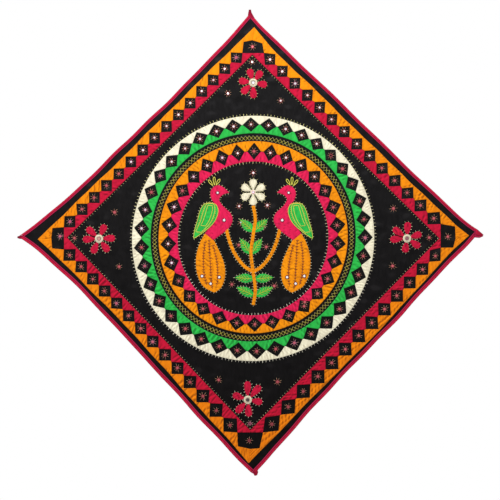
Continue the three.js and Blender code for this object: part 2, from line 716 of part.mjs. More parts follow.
function addCentre() {
  const stem = onDisc(stripCells(STEM_LINE, STEM_HALF_WIDTH, STATIONS.stem));
  add("stem", patch(stem), "orange");
  const whiteFlower = flowerCells(WHITE_FLOWER_CENTRE, WHITE_PETALS, WHITE_PETAL);
  add("white_flower", patch(onDisc(whiteFlower)), "cream");
  for (const [hand, mirror] of [["right", 1], ["left", -1]]) {
    const body = onDisc(betweenCells(BODY_FRONT, BODY_BACK, STATIONS.body), mirror);
    const wing = onDisc(betweenCells(WING_INNER, WING_OUTER, STATIONS.wing), mirror);
    const tail = onDisc(betweenCells(TAIL_INNER, TAIL_OUTER, STATIONS.tail), mirror);
    const branch = onDisc(stripCells(BRANCH_LINE, STEM_HALF_WIDTH, STATIONS.branch), mirror);
    add("wing_" + hand, patch(wing), "green");
    add("body_" + hand, cutBack(body, [wing]), "pink");
    add("tail_" + hand, cutBack(tail, [wing, body]), "orange");
    add("branch_" + hand, cutBack(branch, [stem, body]), "orange");
    for (const leaf of LEAVES) {
      const cells = onDisc(leafCells(leaf, mirror));
      add("leaf_" + leaf.name + "_" + hand, cutBack(cells, [stem]), "green");
    }
  }
}

addGround();
addBorder();
addRings();
addCornerFlowers();
addCentre();

export default hanging;
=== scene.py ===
"""Embroidered wall hanging: the sewn cloth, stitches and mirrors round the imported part.

Plan points are (x, z) in millimetres from the middle of the panel, as in the part's source, and
depths are millimetres in front of the middle of the ground cloth. Finished meshes are in metres.
"""

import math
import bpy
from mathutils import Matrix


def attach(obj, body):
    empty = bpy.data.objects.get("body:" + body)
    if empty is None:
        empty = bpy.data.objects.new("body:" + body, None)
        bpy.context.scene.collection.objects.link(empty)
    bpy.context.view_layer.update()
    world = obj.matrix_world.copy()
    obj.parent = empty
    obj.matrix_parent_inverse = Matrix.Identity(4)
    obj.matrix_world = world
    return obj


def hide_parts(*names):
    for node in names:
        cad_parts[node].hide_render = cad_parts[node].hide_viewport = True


bl_info = {
    "name": "Embroidered wall hanging",
    "version": (1, 0, 0),
    "blender": (4, 5, 0),
    "location": "3D View > Sidebar > Hanging",
    "description": "Dresses the packed wall hanging in sewn cloth, stitches and small mirrors",
    "category": "Object",
}

import bpy
import numpy as np

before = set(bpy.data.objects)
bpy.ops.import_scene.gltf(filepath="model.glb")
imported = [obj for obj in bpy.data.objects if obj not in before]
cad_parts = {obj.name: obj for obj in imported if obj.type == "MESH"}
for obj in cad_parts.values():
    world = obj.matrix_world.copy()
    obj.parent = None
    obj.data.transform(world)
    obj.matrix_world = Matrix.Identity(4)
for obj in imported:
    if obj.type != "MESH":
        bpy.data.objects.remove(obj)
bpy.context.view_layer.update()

MM = 0.001
BODY = "root"

# Thicknesses and depths, as in the part's source
GAP = 0.3
MITRE_GAP = 0.05
GROUND_FACE = 0.8
PATCH_BACK = 1.1
PATCH_FRONT = 2.1
TOP_PATCH_BACK = 2.4
TOP_PATCH_FRONT = 3.4
TAPE_THICKNESS = 0.8

# Shallow waves of the hung cloth, which grow from the top corner to the bottom one
TOP_TIP = (-2, 426.5)
PANEL_DROP = 866
UPRIGHT_WAVE = {"length": 340, "height": 1.5, "phase": 0.6}
SLANTING_WAVE = {"length": 300, "height": 0.9, "slant": 0.4}

# Soft creases of the ground cloth: their number, how far from the middle they lie, the ranges of
# their half lengths, half widths and heights, and how often each bends
CREASE = {"count": 64, "field": 300, "reach": (35, 110), "width": (2.6, 6), "height": (0.12, 0.34), "bend": 2}

# Corners of the square, clockwise from the top. Axis points outwards along the diagonal, cloth is
# where the folded edges meet, and inner and outer are the corners of the toothed band. The nib is
# the drawn-out tip of the binding: how far its cover and its root reach along the two sides, how
# dark it is, and its ends. The block is the black shape between the strips: where it starts and
# ends outwards, its reach sideways before and after the diagonal, and its shoulders, sideways and
# outwards. A petal is a heading and a reach.
# Each corner's roundel tint names the colour of its roundel's mirror: silver, or a painted reflection
CORNERS = [
    {
        "name": "top", "axis": (0, 1), "cloth": (-1.1, 420.7), "inner": (2.5, 342.5), "outer": (6, 394),
        "nib": {
            "cover": 8, "root": 13, "dark": 1,
            "ends": [((-5.2, 420.4), (1.1, 421.1)), ((-4, 426.5), (0, 426.5))],
        },
        "block": {
            "base": 3.2, "top": 26.9, "before": 18.4, "after": 21.7,
            "shoulders": ((16.2, 23.7), (18.5, 21.2)),
        },
        "flower": (4, 290.5), "roundel_tint": "mirror",
        "petals": [(106, 27), (54, 27), (-9, 26), (-89, 29), (223, 29), (171, 27)],
        "stars": [(2.4, 357.1), (2.4, 329.4), (-42.4, 271.6), (55.6, 257.8)],
    },
    {
        "name": "right", "axis": (1, 0), "cloth": (426.5, 14.8), "inner": (350.5, 1), "outer": (405.5, 6.5),
        "nib": {
            "cover": 6, "root": 16, "dark": 0.45,
            "ends": [((427.8, 12.1), (425, 2)), ((432.3, 8.2), (431.3, 4.7))],
        },
        "block": {
            "base": 2.4, "top": 30, "before": 26.8, "after": 17.2,
            "shoulders": ((22.2, 29), (17, 25.6)),
        },
        "flower": (290, 1), "roundel_tint": "dim_reflection",
        "petals": [(87, 30.5), (18, 28.5), (-34, 29), (262, 26.5), (184, 31.5), (143, 32)],
        "stars": [(365.5, 4.3), (331.5, 2.6), (264.7, 56.2), (263, -50.8)],
    },
    {
        "name": "bottom", "axis": (0, -1), "cloth": (4.6, -438.8),
        "inner": (-1.5, -355.5), "outer": (-4.5, -417),
        "nib": {
            "cover": 12, "root": 6, "dark": 0.5,
            "ends": [((13.4, -433.9), (4.1, -436.3)), ((11.5, -439.5), (6.7, -440.5))],
        },
        "block": {
            "base": 4.2, "top": 34.9, "before": 23.8, "after": 23.9,
            "shoulders": ((17.4, 33.7), (22.8, 30)),
        },
        "flower": (-6, -299), "roundel_tint": "dark_reflection",
        "petals": [(91, 34.5), (48, 35), (-10, 27.5), (-86, 31.5), (228, 32), (161, 29.5)],
        "stars": [(-3.3, -375.2), (-2.6, -343.2), (-60.1, -262.3), (49.5, -266.2)],
    },
    {
        "name": "left", "axis": (-1, 0), "cloth": (-432.8, 4.4),
        "inner": (-342, 2.5), "outer": (-396.5, -0.5),
        "nib": {
            "cover": 8, "root": 6, "dark": 1,
            "ends": [((-430.6, 0.2), (-431.1, 5.8)), ((-434.6, 2), (-434.6, 4.4))],
        },
        "block": {
            "base": 5.8, "top": 29.3, "before": 22, "after": 19.2,
            "shoulders": ((20, 27.7), (17.6, 27.1)),
        },
        "flower": (-282.5, 0.5), "roundel_tint": "beige_reflection",
        "petals": [(138, 30.5), (67, 28.5), (2, 30), (-54, 30), (246, 30), (183, 30.5)],
        "stars": [(-354.7, 5.2), (-329, 1.9), (-253.7, 50), (-245, -51.3)],
    },
]

# Sides of the square, clockwise, each from its corner to the next. Edge and band say how far the
# folded edge and the orange edge are drawn in: a bow, a power and a skew. The waves, each of so
# many turns along the side, a size and a phase, are how unevenly those edges run. Squares are the
# number of black squares and how their pitch grows. Pucker is the heading of the strips' wrinkles.
SIDES = [
    {
        "name": "upper_right", "edge": (5.4, 12, -0.37), "band": (5, 8, 0.1), "tape": 6.2, "tip": 4.9,
        "squares": (14, 0.03, 2), "pucker": 5,
        "edge_waves": [(4.3, 0.5, 70), (1.6, 0.5, 55)],
        "band_waves": [(3.4, 0.5, 95), (9.4, 0.4, -75), (2.1, 0.4, -150)],
    },
    {
        "name": "lower_right", "edge": (2.4, 1.8, -1.6), "band": (-0.5, 8, 0), "tape": 7.2, "tip": 2.8,
        "squares": (13, 0.06, 6), "pucker": 72,
        "edge_waves": [(2.2, 0.8, -60), (6.5, 0.5, 150), (3.5, 0.4, 180)],
        "band_waves": [(1, 1.5, -107), (1.8, 1, -160), (4.5, 0.5, 140)],
    },
    {
        "name": "lower_left", "edge": (8, 3.4, -1.3), "band": (7, 3, -0.35), "tape": 7.2, "tip": 2.8,
        "squares": (14, -0.24, 1.4), "pucker": -8,
        "edge_waves": [(4.9, 0.45, -165), (6.4, 0.3, 87)],
        "band_waves": [(1.8, 1, -80), (6.9, 0.4, 10), (4.1, 0.3, 63)],
    },
    {
        "name": "upper_left", "edge": (11.3, 3.8, 0.17), "band": (0.6, 8, 0), "tape": 6.2, "tip": 3.6,
        "squares": (15, -0.04, 2), "pucker": 55,
        "edge_waves": [(2.7, 0.55, -147), (7, 0.4, -13), (5.4, 0.3, -87)],
        "band_waves": [(1, 0.8, 134), (3.6, 0.5, 152), (9.4, 0.4, -144)],
    },
]

# Toothed strips and rings. The outside and the inside of a ring are a radius and a lift towards
# the top. Its drift, each of so many turns, a size and a place, is how unevenly its teeth stand.
WAVE_FADE = 0.07
STRIP_RIM = 3
TOOTH_SLOPE = 0.29
HAND_SIZE = 0.7
HAND_STEP = 12.9
HAND_SERIES = 7.3
TIP_SERIES = 0.5
VALLEY_SERIES = 0.25
WIDTH_SERIES = 0.8
DISC_CENTRE = (4, 1)
OUTER_RING = {
    "teeth": 38, "tip": 2.5, "start": 2, "drift": [(1, 2.8, -7), (2, 0.6, 25)],
    "outside": (226.7, 0), "inside": (192.1, 1.9),
}
INNER_RING = {
    "teeth": 30, "tip": 4.2, "start": 0.1, "drift": [(1, 2.8, -19), (2, 1.7, 44)],
    "outside": (177.4, 2.1), "inside": (141.4, 0),
}
RING_OVAL = (1.9, 70)
RINGS = (
    ("cream", OUTER_RING, 1), ("green", OUTER_RING, -1),
    ("orange", INNER_RING, 1), ("pink", INNER_RING, -1),
)

# Binding. The section is half of the tape's, from its outer fold to its inner edge: place across
# and height as shares of its width and depth. The dip is the seam, and the roll after it the fold.
CORNER_LOOK = 0.02
CORNER_TUCK = 3.5
CORNER_TUCK_FADE = 9
NIB_SLOT = 0.7
NIB_THINNING = 0.7
NIB_DARKENING = (0.8, 1)
COVER_SLOT = 0.12
TAPE_EASE = 2
TAPE_SLOT_SHARE = 0.25
TAPE_RUN_STEPS = 170
TAPE_END_STEPS = 4
TAPE_SECTION = np.array([
    (0, 0.42), (0.03, 0.72), (0.1, 0.93), (0.22, 1), (0.38, 1), (0.54, 0.95), (0.64, 0.82),
    (0.69, 0.78), (0.74, 0.86), (0.82, 1.02), (0.91, 1), (0.97, 0.88), (1, 0.7),
])
TAPE_CRIMP = {
    "height": 0.11, "fine": 1.35, "wander": 1.5, "wander_length": 17, "coarse": 2.9, "coarse_share": 0.7,
    "band": 0.8,
}

# Flowers and the centre panel, for the bird on the right
CORNER_PETAL = {"half": 6.8, "hub": 5, "neck": 1.7}
WHITE_PETAL = {"half": 7.1, "hub": 4.6, "neck": 1.7}
PETAL_FULLNESS = 1.74
PETAL_RISE = 0.85
PETAL_ROUNDNESS = 2.6
PETAL_NECK_SHARE = 0.3
PETAL_CROWN = 0.25
PETAL_ROWS = 18
HUB_OVERLAP = 0.5
HUB_DROP = 0.1
ROUNDEL_RADIUS = 7.7
DISC_ROWS = 24
WHITE_FLOWER_CENTRE = (0, 86)
WHITE_PETALS = [(angle, 24.5) for angle in (90, 30, -30, -90, 210, 150)]
STEM_HALF_WIDTH = 3.2
STEM_LINE = [(0, -124), (4, -96), (0, -62), (-4, -28), (0, 6), (4, 36), (0, 61)]
STEM_PLACES = 200
BRANCH_LINE = [(0, -62), (16, -52), (32, -32), (43, -8), (50, 18)]
LEAF_HALF_WIDTH = 8.6
LEAF_FULLNESS = 0.85
LEAF_ROWS = 20
LEAVES = [("lowest", 0.11, 26, 38), ("low", 0.27, 4, 36), ("middle", 0.49, 56, 36), ("high", 0.7, 42, 35)]
BODY_FRONT = [(44, 85), (57, 80.5), (63, 71), (55, 59), (42, 47), (38, 34), (44, 20), (57, 9), (75, -4)]
BODY_BACK = [(44, 85), (58, 97), (70, 98), (79, 88), (78, 74), (70, 60), (74, 40), (82, 22), (90, 9)]
WING_INNER = [(78, 66), (68, 62), (64.5, 49), (72, 30), (90, 13), (111, -1)]
WING_OUTER = [(78, 66), (91, 64), (99, 52), (104, 34), (109, 16), (111, -1)]
TAIL_INNER = [(76, 2), (64, -21), (54, -46), (52, -70), (59, -91), (72, -101)]
TAIL_OUTER = [(89, 10), (99, -8), (106, -34), (105, -62), (94, -88), (72, -101)]
HANDS = (("right", 1), ("left", -1))
CENTRE_ROWS = {"stem": 80, "branch": 40, "tail": 44, "body": 70, "wing": 40}
CENTRE_CLOTH = {
    "stem": ("orange", 2.5), "branch": ("orange", 2.2), "tail": ("orange", 1.95), "body": ("pink", 2.35),
    "wing": ("green", 2.8), "leaf": ("green", 1.95),
}

# Laid cloth, in millimetres. Across are the columns of its grids, closer together at both rims.
TINY = 1e-9
TURNED_EDGE = 1.3
LEAST_RIM = 0.25
GROUND_STEPS = 184
CLOTH_STEP = 1.45
ACROSS = np.array([0, 0.03, 0.08, 0.15, 0.24, 0.33, 0.42, 0.51, 0.6, 0.69, 0.78, 0.86, 0.93, 0.97, 1])
TIP_WIDTH = 0.15
FAR_FROM_RIM = 5

# Puckers: the range of their lengths in millimetres, their heading and its spread in degrees, and
# how high they are. They grow down the panel, from the first to the second value of their growth.
PUCKER_GROWTH = (0.45, 1.7)
RIPPLE_COUNT = 9
RIPPLE_SWELL = {"level": 0.85, "size": 0.25, "waves": 3, "longer": 4}
CLOTH_PUCKERS = {"lengths": (4.6, 9), "spread": 34}
PETAL_PUCKERS = {"height": 0.12, "lengths": (4, 9), "heading": 90, "spread": 50}
CENTRE_PUCKERS = {"height": 0.14, "lengths": (4, 9), "heading": 0, "spread": 90}
GROUND_RIPPLES = {"lengths": (11, 40), "heading": 0, "spread": 180}
GROUND_RIPPLE_HEIGHT = 0.07
GROUND_SHADING = {"ripples": 0.7, "creases": 2}

# Seeds of the random draws
SEEDS = {
    "creases": 21, "ground": 3, "strips": 10, "tapes": 31, "rings": 40, "flowers": 60, "white_flower": 90,
    "centre": 200, "edge_stitches": 5, "stars": 9, "criss_cross": 13, "roundels": 17,
}

# Threads and stitches, in millimetres. A pair of depths is at a stitch's start and end.
THREAD_SIDES = 5
STITCH_POINTS = 4
STITCH_THINNING = 0.62
STITCH_LIFT = 0.35
HOOP_POINTS = 16
HEADING_REACH = 0.8

# Edge stitches. Pale is how far their thread turns cream down the panel, between the two shares of
# its drop in the fade, and shade how bright they are.
TICK_START = -0.3
DOT_START = 1.2
TICK_CLEARANCE = 1.2
TICK_DEPTHS = (1.7, 1.1)
TICK_LENGTHS = (0.75, 1.2)
TICK_SLANT = 0.35
TICK_SHADES = (0.5, 1.1)
TICK_RADII = (0.85, 1.15)
TICK_FADE = (0.3, 0.62)
TICK_KINDS = {
    "strip": {"pale": 0.3, "shade": 0.72},
    "ring": {"pale": 1, "shade": 1},
    "petal": {"pale": 0.7, "shade": 1},
}

# Criss-cross ring
LATTICE_RADIUS = 184.7
LATTICE_LIFT = 0.6
LATTICE_HALF = 3.9
LATTICE_CELLS = 164
LATTICE_STRAY = 0.15
LATTICE_THREAD = 0.5
LATTICE_SHADES = (0.7, 1.05)
LATTICE_OVER = {"depth": 1.25, "lift": 0.5, "shade": 1}
# The under thread is a darker copy of the over thread: painted shade where it lies beneath
LATTICE_UNDER = {"depth": 1.2, "lift": 0.1, "shade": 0.85}
KNOT = {"depth": 1.4, "lift": 0.2, "half": 0.16, "shades": (0.5, 0.95)}

# Mirror stars. The bright line is a slanting line over the panel: above it the mirrors look bright,
# below it they get a painted rosy reflection, and both within its spread. Painted shade darkens them
# between two shares of the panel's drop.
MIRROR_SIDES = 14
MIRROR_PROFILE = ((0.86, 1), (1, 0.7), (1, 0))
STAR_MIRROR = {"back": 1, "height": 0.8, "tilt": 0.05, "sizes": (0.88, 1.1), "shades": (0.82, 1)}
STAR_RING = {"gap": 0.2, "thread": 0.42, "depth": 1.35, "shades": (0.5, 0.9)}
STAR_RAY = {"count": 8, "stray": 5, "depths": (1.35, 1.1), "reaches": (0.82, 1.1), "shades": (0.45, 0.9)}
STAR_STRAY = 0.35
LILAC_SHARES = {"left": 0.2, "right": 0.05}
ROSY_SHARES = (0.04, 0.995)
BRIGHT_LINE = {"height": -50, "slope": 0.6, "from": -120, "steep": 2, "edge": -190, "spread": 60}
# Painted shade on the mirrors towards the bottom corner
MIRROR_SHADE_BELOW = {"from": 0.72, "to": 0.93, "least": 0.3}
MISSING_MIRROR = (147, 152.5)
ROSY_TOP_MIRROR = (2.4, 357.1)
FIELD_STARS = [
    (20, 22), (-22, 30), (24, -16), (-26, -12), (26, 62), (-26, 60), (40, -88), (-40, -86), (96, -118),
    (0, 122),
]

# Needlework of the flowers and the birds: threads by radius and depth, places as shares of a
# piece's length or width, a wing's loops by start, end and inset, a tail's veins by place across
# and first and last row, and crests by root, heading and reach
ROUNDEL_RAYS = {"count": 26, "from": 3.5, "to": 6.9, "depths": (3.75, 3.45), "thread": 0.55, "lift": 0.25}
ROUNDEL_RAY_SHADES = (0.8, 1)
ROUNDEL_RING = {"radius": 3.5, "thread": 0.6, "depth": 3.7}
ROUNDEL_MIRROR = {"radius": 3.1, "back": 3.1, "height": 0.8}
WHITE_RING = {"radius": 2.5, "thread": 0.5, "depth": 2.4}
WHITE_MIRROR = {"radius": 2.3, "back": 1.9, "height": 0.7}
ECHO = {"inset": 1.9, "least": 2.47, "thread": 0.3, "depth": 2.2}
MIDRIB = {"from": 0.14, "to": 0.92, "points": 14, "thread": 0.6, "depth": 2.3}
LEAF_VEIN = {
    "places": (0.26, 0.4, 0.54, 0.68), "forward": 0.75, "sideways": 0.72,
    "thread": 0.45, "depths": (2.2, 2.15),
}
WING_ROWS = 60
WING_LOOPS = {"edge": (0.03, 0.98, 0.02), "large": (0.14, 0.84, 0.2), "small": (0.24, 0.7, 0.34)}
WING_LOOP = {"thread": 0.6, "depth": 3}
WING_STITCH = {"pitch": 3.4, "from": 0.6, "to": 2.6, "thread": 0.4, "depths": (3, 3)}
TAIL_ROWS = 80
TAIL_VEINS = ((0.26, 12, 62), (0.5, 8, 68), (0.74, 12, 62))
TAIL_VEIN = {"thread": 0.5, "depth": 2.15}
TAIL_STITCH = {"pitch": 5.2, "sideways": 2.8, "backward": 2.2, "thread": 0.38, "depths": (2.1, 2.1)}
CRESTS = [((69, 99), 122, 13), ((72, 99), 88, 15), ((75, 98), 54, 13)]
CREST = {"points": 24, "half": 2.6, "drawn_out": 0.6, "thread": 0.75, "depth": 1.7}
BIRD_MIRRORS = [
    ((66, 85), 2.2, 2.9), ((54, 34), 2.6, 2.9), ((63, -72), 2.5, 2.5), ((79, -84), 2.5, 2.5),
    ((95, -70), 2.5, 2.5),
]
BIRD_MIRROR = {"sunk": 0.5, "height": 0.7, "ring_gap": 0.5, "thread": 0.6}

# Cotton. Contrast is how much painted shade and painted light the soft folds get. The hollow and
# ridge values are the painted shade in a pucker's bottom and the painted light on its top, and the
# colour that multiplies the cloth at the bottom is painted shade, which darkens it towards the bottom
# corner, where less light falls. Each band is where a mark starts and ends in its own measure, and
# each share is how strongly it covers the cloth.
COTTON = {
    "crumple": 0.9, "contrast": 0.26, "hollow_shade": 0.58, "ridge_light": 1.1, "deeper": (0.95, 0.72, 0.72),
    "specular": 0.16, "sheen": 0.05,
}
# The black ground gets strong painted light on its ridges and strong painted shade towards the bottom corner
GROUND_COTTON = {"contrast": 0.3, "ridge_light": 1.7, "deeper": (0.36, 0.32, 0.32), "specular": 0.06, "sheen": 0.01}
TAPE_COTTON = {"crumple": 0.7}
# Painted shade in the hollows of each cloth's puckers
HOLLOW_SHADES = {"orange": 0.38, "crimson": 0.38, "cream": 0.68, "green": 0.5, "pink": 0.5}
WEAVE_THREADS = 520.0
WEAVE_WAVE = {"distortion": 0.7, "detail": 1.0}
SLUB_NOISE = {"scale": 850.0, "detail": 3.0, "roughness": 0.6}
WEAVE_WEIGHTS = (0.6, 0.5)
WEAVE_BAND = (0.35, 0.95)
FOLD_NOISE = {"scale": 170.0, "detail": 3.0, "roughness": 0.55}
FOLD_STRETCHES = ((0.7, (1.0, 1.0, 0.32)), (-0.8, (1.0, 1.0, 0.36)))
# Painted shade and painted light on the soft folds, by the crumple noise
FOLD_BAND = (0.36, 0.62)
FOLD_LIGHT = 0.35
FADE_NOISE = {"scale": 26.0}
FADE_BAND = (0.3, 0.7)
FADE = {"share": 0.5, "shade": 0.9}
WEAVE = {"share": 0.2, "shade": 0.7}
# Painted shade in the pucker hollows and painted light on their ridges
PAINTED_HOLLOW = {"band": (-1.7, -0.1), "share": 0.8}
PAINTED_RIDGE_BAND = (0.3, 1.9)
# Painted shade along the turned rim and in the sunk seam
RIM = {"band": (0.0, 0.8), "share": 0.55}
SEAM = {"inset": 2.3, "band": (0.1, 0.6), "share": 0.3}
PAINTED_RIM_SHADE = 0.45
COTTON_ROUGHNESS = (0.95, 0.78)
COTTON_BUMP = {"strength": 0.55, "distance": 0.0003}
BUMP_WEIGHTS = {"crumple": 6, "weave": 0.5}
SHEEN_ROUGHNESS = 0.5

# Painted marks across the tape, from its outer fold at 0 to its inner edge at 1: a painted highlight on
# the inner fold, and painted shade in the seam and along both rims
TAPE_FOLD_HIGHLIGHT = {"band": (0.72, 0.78), "into": (0.0, 0.7)}
TAPE_SEAM_SHADE = {"middle": 0.67, "band": (0.04, 0.12), "into": (0.85, 0.0)}
TAPE_RIM_SHADES = (((0.0, 0.2), (0.85, 0.0)), ((0.9, 1.0), (0.0, 0.9)))

# Thread and mirror glass
PLY_WAVE = {"scale": 420.0, "distortion": 1.5}
FUZZ_NOISE = {"scale": 1400.0}
PLY_WEIGHTS = (0.4, 0.6)
PLY_BAND = (0.2, 0.8)
PLY = {"dark": 0.62, "into": (0.55, 0.0)}
THREAD_BUMP = {"strength": 0.5, "distance": 0.0001}
THREAD_ROUGHNESS = 0.62
THREAD_SPECULAR = 0.35
GLASS = {"worn": 0.8, "share": 0.35, "band": (0.3, 0.7), "roughness": (0.12, 0.3)}

# Camera and light, in metres and degrees
VIEW_CENTRE = (0.00014, -0.44696)
VIEW_DISTANCE = 3
VIEW_WIDTH = 0.93
SENSOR = 36
WORLD_LIGHT = 0.66
LAMP = {"size": 0.9, "energy": 15, "place": (-0.25, -1.0, 0.55), "tilt": 52, "turn": -10}
FLOOR_DROP = -2.6
FLOOR_SIZE = 14
FLOOR_TONES = ((0.8, 0.8, 0.8), (0.84, 0.84, 0.83))
FLOOR_GRAIN = 30.0
FLOOR_ROUGHNESS = 0.9


# Plan geometry

def unit(vectors):
    """Vectors scaled to length one."""
    vectors = np.asarray(vectors, float)
    return vectors / np.maximum(np.linalg.norm(vectors, axis=-1, keepdims=True), TINY)


def clockwise(vectors):
    """Plan vectors turned a quarter clockwise, as seen from the front."""
    vectors = np.asarray(vectors, float)
    return np.stack([vectors[..., 1], -vectors[..., 0]], -1)


def polar(degrees, radius=1):
    """Plan vectors at an angle from +X, anticlockwise."""
    angle = np.radians(degrees)
    return np.stack([np.cos(angle) * radius, np.sin(angle) * radius], -1)


def hand_shift(index, series):
    """The small unevenness that hand cutting leaves: a sine with a long step."""
    return HAND_SIZE * np.sin(index * HAND_STEP + series * HAND_SERIES)


def smooth_line(line, count):
    """Points evenly in parameter along a uniform Catmull-Rom curve through the line's points."""
    line = np.asarray(line, float)
    place = np.linspace(0, len(line) - 1, count)
    start = np.minimum(place.astype(int), len(line) - 1)
    share = (place - start)[:, None]
    last = len(line) - 1
    before, here, after, beyond = (line[np.clip(start + k, 0, last)] for k in (-1, 0, 1, 2))
    leave, arrive = (after - before) / 2, (beyond - here) / 2
    cubic = 2 * here - 2 * after + leave + arrive
    square = -3 * here + 3 * after - 2 * leave - arrive
    return ((cubic * share + square) * share + leave) * share + here


def along_line(points):
    """Length along a polyline at each of its points."""
    return np.concatenate([[0], np.cumsum(np.linalg.norm(np.diff(points, axis=0), axis=1))])


def subdivided(keys, steps):
    """A polyline with each of its stretches cut into equal steps: one count, or one a stretch."""
    keys = np.asarray(keys, float)
    last = len(keys) - 1
    counts = np.broadcast_to(steps, last)
    fine = np.concatenate([i + np.arange(count) / count for i, count in enumerate(counts)] + [[last]])
    whole = np.arange(last + 1)
    return np.stack([np.interp(fine, whole, keys[:, axis]) for axis in range(keys.shape[1])], -1)


def fine_steps(*lines):
    """Counts that cut each stretch of matching polylines into steps of about the cloth's grid size."""
    longest = np.max([np.linalg.norm(np.diff(line, axis=0), axis=1) for line in lines], axis=0)
    return np.maximum(np.ceil(longest / CLOTH_STEP).astype(int), 1)


def drop_share(plan):
    """How far down the panel plan points lie: 0 at the top corner and 1 at the bottom one."""
    return (TOP_TIP[1] - plan[..., 1]) / PANEL_DROP


def swell(plan):
    """How far back the hung cloth stands: an upright and a slanting sine, both growing downwards."""
    x, z = plan[..., 0], plan[..., 1]
    upright = np.sin(2 * np.pi * x / UPRIGHT_WAVE["length"] + UPRIGHT_WAVE["phase"])
    slanting = np.sin(2 * np.pi * (z + SLANTING_WAVE["slant"] * x) / SLANTING_WAVE["length"])
    return drop_share(plan) * (UPRIGHT_WAVE["height"] * upright + SLANTING_WAVE["height"] * slanting)


def soft_creases():
    """Middles, headings, half lengths, half widths and heights of the panel's soft creases."""
    draw = np.random.default_rng(SEEDS["creases"])
    count, field = CREASE["count"], CREASE["field"]
    middle = draw.uniform(-field, field, (count, 2))
    heading = unit(draw.normal(0, 1, (count, 2)))
    reach = draw.uniform(*CREASE["reach"], count)
    width = draw.uniform(*CREASE["width"], count)
    height = draw.uniform(*CREASE["height"], count) * np.where(draw.random(count) < 0.5, -1, 1)
    return middle, heading, reach, width, height


CREASES = soft_creases()


def creased(plan):
    """Soft uneven troughs and ridges: each a bell across its line that fades along it."""
    total = np.zeros(plan.shape[:-1])
    for centre, line, long, wide, high in zip(*CREASES):
        offset = plan - centre
        along = offset @ line
        bent = offset @ clockwise(line) + wide * np.sin(along / long * CREASE["bend"])
        total += high * np.exp(-((bent / wide) ** 2) - (along / long) ** 4)
    return total


def back_of(plan, depth):
    """How far back plan points lie, in metres, at depths in front of the ground cloth's middle."""
    return (swell(plan) + creased(plan) - depth) * MM


def placed(plan, back):
    """Plan points as points in metres, each at its own place from front to back."""
    return np.stack([(plan[..., 0] - TOP_TIP[0]) * MM, back, (plan[..., 1] - TOP_TIP[1]) * MM], -1)


def lie(plan, depth):
    """Plan points at depths in front of the ground cloth's middle, as points in metres."""
    return placed(plan, back_of(plan, depth))


def joined_sides():
    """The sides with their corners and directions worked out."""
    sides = []
    for index, side in enumerate(SIDES):
        start, end = CORNERS[index], CORNERS[(index + 1) % len(CORNERS)]
        along = unit(np.subtract(end["inner"], start["inner"]))
        out = -clockwise(along)
        sides.append({**side, "index": index, "from": start, "to": end, "along": along, "out": out})
    return sides


ALL_SIDES = joined_sides()


def drawn_in(bend, share):
    """How far a line is drawn in at a share of its length."""
    bow, power, skew = bend
    return bow * (1 - np.abs(2 * share - 1) ** power) * (1 + skew * (1 - 2 * share))


def waving(waves, share):
    """Uneven waves along a side that fade out towards both of its corners."""
    fade = np.sin(np.pi / 2 * np.clip(np.minimum(share, 1 - share) / WAVE_FADE, 0, 1))
    return fade * sum(
        size * np.sin(2 * np.pi * turns * share + math.radians(phase)) for turns, size, phase in waves
    )


def edge_point(side, share, depth=0):
    """Points on the folded outer edge of a side, moved inwards by a depth."""
    share = np.asarray(share, float)
    chord = np.subtract(side["to"]["cloth"], side["from"]["cloth"])
    inwards = clockwise(unit(chord))
    drawn = drawn_in(side["edge"], share) + waving(side["edge_waves"], share) + depth
    return side["from"]["cloth"] + chord * share[..., None] + inwards * drawn[..., None]


def band_point(side, s, t):
    """Points of the toothed band: s along the inner line of a side and t outwards from it."""
    s, t = np.broadcast_arrays(np.asarray(s, float), np.asarray(t, float))
    return side["from"]["inner"] + side["along"] * s[..., None] + side["out"] * t[..., None]


def band_place(side, point):
    """Where a plan point lies in a side's own s and t."""
    offset = np.subtract(point, side["from"]["inner"])
    return offset @ side["along"], offset @ side["out"]


def band_width(side, s):
    """The width of the toothed band at s, between its two straight edges."""
    start_s, start_t = band_place(side, side["from"]["outer"])
    end_s, end_t = band_place(side, side["to"]["outer"])
    share = np.clip((s - start_s) / (end_s - start_s), 0, 1)
    straight = start_t + (end_t - start_t) * share
    return straight - drawn_in(side["band"], share) + waving(side["band_waves"], share)


def block_point(corner, outwards, sideways):
    """A point of a corner's block: outwards along the diagonal, then sideways, clockwise."""
    middle = np.add(corner["inner"], np.multiply(corner["axis"], outwards))
    return middle + clockwise(corner["axis"]) * sideways


def band_layout(side):
    """The tips where the teeth of a side meet and the valleys between them, in s and t."""
    start_tip = block_point(side["from"], side["from"]["block"]["base"], side["from"]["block"]["after"])
    end_tip = block_point(side["to"], side["to"]["block"]["base"], -side["to"]["block"]["before"])
    first, last = band_place(side, start_tip)[0], band_place(side, end_tip)[0]
    count, growth, power = side["squares"]
    order = np.arange(count + 1)
    share = order / count
    inside = (order > 0) & (order < count)
    places = first + (last - first) * (share + growth * (share**power - share))
    places = places + inside * hand_shift(order, side["index"])
    tips, order = places[1:-1], np.arange(count - 1)
    half = (side["tip"] + hand_shift(order, side["index"] + WIDTH_SERIES)) / 2
    skew = TOOTH_SLOPE * half * np.sign(hand_shift(order, side["index"] + TIP_SERIES))
    valleys = (places[1:] + places[:-1]) / 2 + hand_shift(np.arange(count), side["index"] + VALLEY_SERIES)
    return {"start": start_tip, "end": end_tip, "tips": tips, "half": half, "skew": skew, "valleys": valleys}


